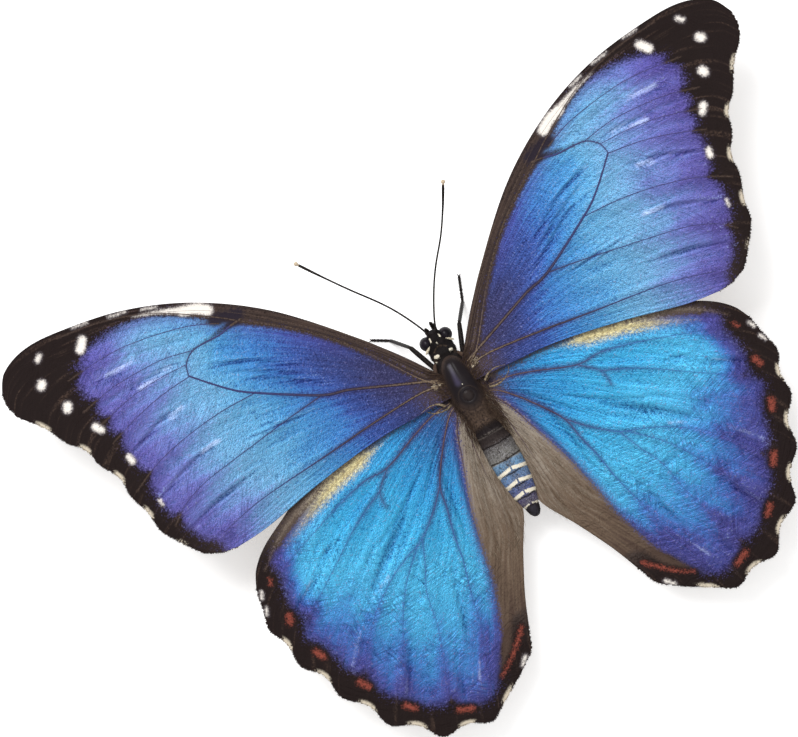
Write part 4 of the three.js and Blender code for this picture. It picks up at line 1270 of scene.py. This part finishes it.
def leg_joints(joints, thick):
    """The bars of one leg: hip, thigh, shin, five foot joints and two claws."""
    hip, knee, ankle, toe = np.array(joints, float)
    found = [joint_bar(hip + 0.3 * UPWARDS, hip + 0.18 * (knee - hip), thick * 1.35),
             joint_bar(hip + 0.14 * (knee - hip), knee, thick * 1.15), joint_bar(knee, ankle, thick * 0.85)]
    for start, end in zip(FOOT_JOINTS[:-1], FOOT_JOINTS[1:]):
        found.append(joint_bar(ankle + start * (toe - ankle), ankle + end * (toe - ankle), thick * 0.62, 0.7))
    ahead = unit(toe - ankle)
    for aside in (np.array([-ahead[1], ahead[0], 0]), np.array([ahead[1], -ahead[0], 0])):
        bend = toe + 0.25 * ahead + 0.2 * aside + 0.08 * UPWARDS
        tip = toe + 0.42 * ahead + 0.22 * aside - 0.08 * UPWARDS
        found.append(thorn(smooth_line([toe, bend, tip], 16), 0.1, 0.02))
    return found


def leg_spines(joints):
    """Short spines in two rows down the shin and the foot."""
    _, knee, ankle, toe = np.array(joints, float)
    found = []
    for start, end, thick in ((knee, ankle, 0.3), (ankle, toe, 0.2)):
        way = unit(end - start)
        aside = unit(np.cross(way, UPWARDS))
        for step in np.arange(0.5, np.linalg.norm(end - start) - 0.2, SPINE_SPACING):
            for hand in (aside, -aside):
                root = start + way * step + hand * thick * 0.6
                found.append(thorn(evenly(np.array([root, root + way * 0.34 + hand * 0.2]), 8), 0.045, 0.008))
    return found


def palp_hairs(line, plump):
    """Hairs set round a palp in a close spiral, each lying forward along it."""
    way = unit(np.gradient(line, axis=0))
    aside = unit(np.cross(way, UPWARDS))
    found = []
    for k in range(PALP_HAIRS):
        at = 2 + (len(line) - 4) * k // PALP_HAIRS
        out = math.cos(2.4 * k) * aside[at] + math.sin(2.4 * k) * np.cross(aside[at], way[at])
        root, reach = line[at] + 0.92 * plump[at] * out, (0.45 - 0.3 * k / PALP_HAIRS) * way[at]
        hair = smooth_line([root, root + 0.5 * reach + 0.07 * out, root + reach + 0.08 * out], 8)
        found.append(thorn(hair, 0.04, 0.006))
    return found


finish = Finish("limb shell", 0.4, 0.1)
limb_finish = finish.wear({
    "Base Color": paint((19, 16, 16), (finish.speckle(0.35, 3).rise(-0.1, 0.25, 0.8), (52, 44, 40)),
                        (finish.fields("cream")[0], (186, 168, 144))),
    "Normal": finish.bump(0.6, 0.03, finish.speckle(0.12, 2)),
})


def fit_limb(limb, mirror, node_name, knob=None, stands=False):
    """Finishes a limb's piece, with its feet flat on the floor or a cream knob at the end of a feeler."""
    places = corners_of(limb.data)
    if stands:
        places[:, 2] = np.maximum(places[:, 2], 0)
        set_corners(limb.data, places)
    away = 1 if knob is None else ease(np.linalg.norm(places - knob, axis=1), 0.6, 0.85)
    keep_fields(limb.data, {"cream": np.ones(len(places)) - away})
    fit(limb, limb_finish, mirror)
    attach(limb, "root")
    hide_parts(node_name)


LEG_THICK = 0.34  # about the half width of its joints
HIND_LEG = [(1.1, -2, 6.2), (6.4, -3.9, 6.4), (9.4, -8.2, 0.2), (11.2, -12, 0.2)]
MIDDLE_LEG = {
    "right": [(1.9, 3.2, 6.6), (4.2, 8.9, 6.2), (6.2, 11.4, 0.2), (7.6, 15, 0.2)],
    "left": [(1.7, 3.2, 6.6), (3.9, 9.2, 6.2), (6, 11.6, 0.2), (8.4, 13, 0.2)],
}
FORELEG = [(0.75, 4.6, 6.2), (1.15, 6.3, 4.9), (1, 5, 3.6)]  # folded up under the thorax
FORELEG_THICK = (0.32, 0.28)
FEELER = {
    "right": [(0.45, 9, 8.6), (1.35, 11.4, 10.4), (3.3, 15, 12), (5.3, 18, 13.2), (8.1, 21.5, 14.4),
              (10.4, 25, 15.4), (12.4, 28.5, 16.2)],
    "left": [(0.45, 9, 8.6), (1.3, 11.3, 10.4), (2.9, 14.5, 12), (4.7, 17.3, 13.2), (7.6, 21.1, 14.4),
             (10.4, 25, 15.4), (12.8, 28.5, 16.2)],
}
BEADS = 45  # joints in a feeler
FEELER_THICK, CLUB_EXTRA, KNOB_THICK = 0.15, 0.08, 0.34  # half widths: its shaft, club and end knob
PALP_THICK = 0.34
PALP = {"right": [(0.5, 9.1, 7.3), (0.58, 10.2, 7.3), (0.4, 11.15, 8.2)],
        "left": [(0.5, 9.1, 7.3), (0.62, 9.9, 7.3), (0.66, 10.6, 8.0)]}
for side, mirror in MIRROR.items():
    for name, joints in (("hind_leg_", HIND_LEG), ("middle_leg_", MIDDLE_LEG[side])):
        leg = bars(name + "jointed_" + side, leg_joints(joints, LEG_THICK), 16, 12)
        fit_limb(leg, mirror, name + side, stands=True)
        spines = bars(name + "spines_" + side, leg_spines(joints), 4, 4)
        fit_limb(spines, mirror, name + side, stands=True)
    foreleg = [joint_bar(FORELEG[k], FORELEG[k + 1], FORELEG_THICK[k]) for k in (0, 1)]
    fit_limb(bars("foreleg_jointed_" + side, foreleg, 16, 12), mirror, "foreleg_" + side)
    line, t = smooth_line(FEELER[side], 240), np.linspace(0, 1, 240)
    beaded = FEELER_THICK + CLUB_EXTRA * ease(t, 0.75, 0.95)
    beaded = beaded * (0.93 + 0.07 * np.abs(np.sin(np.pi * BEADS * t)))
    beaded = beaded * (1 + 0.5 * (1 - ease(t, 0, 0.02))) * (1 - ease(t, 0.96, 1))
    beaded = np.maximum(beaded, KNOB_THICK * np.sqrt(np.clip(1 - ((t - 0.988) / 0.0135) ** 2, 0, 1)))
    feeler = bars("feeler_beaded_" + side, [(line, beaded, beaded)], 240, 10)
    fit_limb(feeler, mirror, "antenna_" + side, knob=line[-1])
    line, t = smooth_line(PALP[side], 40), np.linspace(0, 1, 40)
    plump = PALP_THICK * np.sin(np.pi * np.clip(0.18 + 0.8 * t, 0, 1)) ** 0.7
    fit_limb(bars("palp_hairy_" + side, [(line, plump, plump)], 40, 12), mirror, "palp_" + side)
    fit_limb(bars("palp_hairs_" + side, palp_hairs(line, plump), 4, 4), mirror, "palp_" + side)

COIL_MIDDLE = (9.15, 5.75)  # along the body, and its height
COIL_TURNS = 2.6
turns = np.linspace(0, 2 * math.pi * COIL_TURNS, 260)
spiral = 0.72 - 0.52 * turns / turns[-1]
coil = np.column_stack([0.1 * np.sin(turns / 3), COIL_MIDDLE[0] + spiral * np.cos(turns + 2.2),
                        COIL_MIDDLE[1] + spiral * np.sin(turns + 2.2)])
tongue = bars("tongue_coiled", [thorn(coil, thick=0.15, thin=0.07)], 200, 10, up=(1, 0, 0))
fit_limb(tongue, 1, "proboscis")

# ---------------------------------------------------------------- the floor, the light and the camera
# A plain pale floor under soft, even studio light. The camera looks straight down, turned a little.

FLOOR_SIZE = 2  # in metres, as are the places and sizes of the lights and the camera
FLOOR_GLOW = 0.4  # the light from below that keeps the floor pale under the wings
SKY_GLOW = 0.52
bm = bmesh.new()
bmesh.ops.create_grid(bm, x_segments=1, y_segments=1, size=FLOOR_SIZE)
floor = mesh_object("floor", bm)
floor_finish = Finish("pale floor", 0.9, 0.1).wear({
    "Base Color": (243.35, 243.35, 243.35), "Emission Color": (255, 255, 255),
    "Emission Strength": FLOOR_GLOW})
floor.data.materials.append(floor_finish)

world = bpy.data.worlds.new("studio")
bpy.context.scene.world = world
world.use_nodes = True
world.node_tree.nodes["Background"].inputs["Color"].default_value = (1, 1, 1, 1)
world.node_tree.nodes["Background"].inputs["Strength"].default_value = SKY_GLOW


def soft_light(name, place, size, power):
    """A square light that faces the butterfly."""
    lamp = bpy.data.lights.new(name, "AREA")
    lamp.size = size
    lamp.energy = power
    light = new_piece(name, lamp)
    light.location = place
    light.rotation_euler = (-Vector(place)).to_track_quat("-Z", "Y").to_euler()


soft_light("window", (-0.1, 0.55, 0.85), size=0.5, power=8.4)
soft_light("ceiling", (0.1, -0.1, 1.2), size=1.2, power=4.0)

CAMERA_HEIGHT = 2.0
VIEW_WIDTH = 0.1181
VIEW_TURN = math.radians(-29.25)
VIEW_MIDDLE = np.array([-6.89, 7.36, 11.0])  # in the butterfly's own millimetres
camera = bpy.data.cameras.new("camera")
camera.lens = camera.sensor_width * CAMERA_HEIGHT / VIEW_WIDTH
seen_from = new_piece("camera", camera)
seen_from.location = Vector(in_place(VIEW_MIDDLE)) + Vector((0, 0, CAMERA_HEIGHT))
seen_from.rotation_euler = (0, 0, VIEW_TURN)
bpy.context.scene.camera = seen_from
bpy.context.scene.view_settings.view_transform = "Standard"
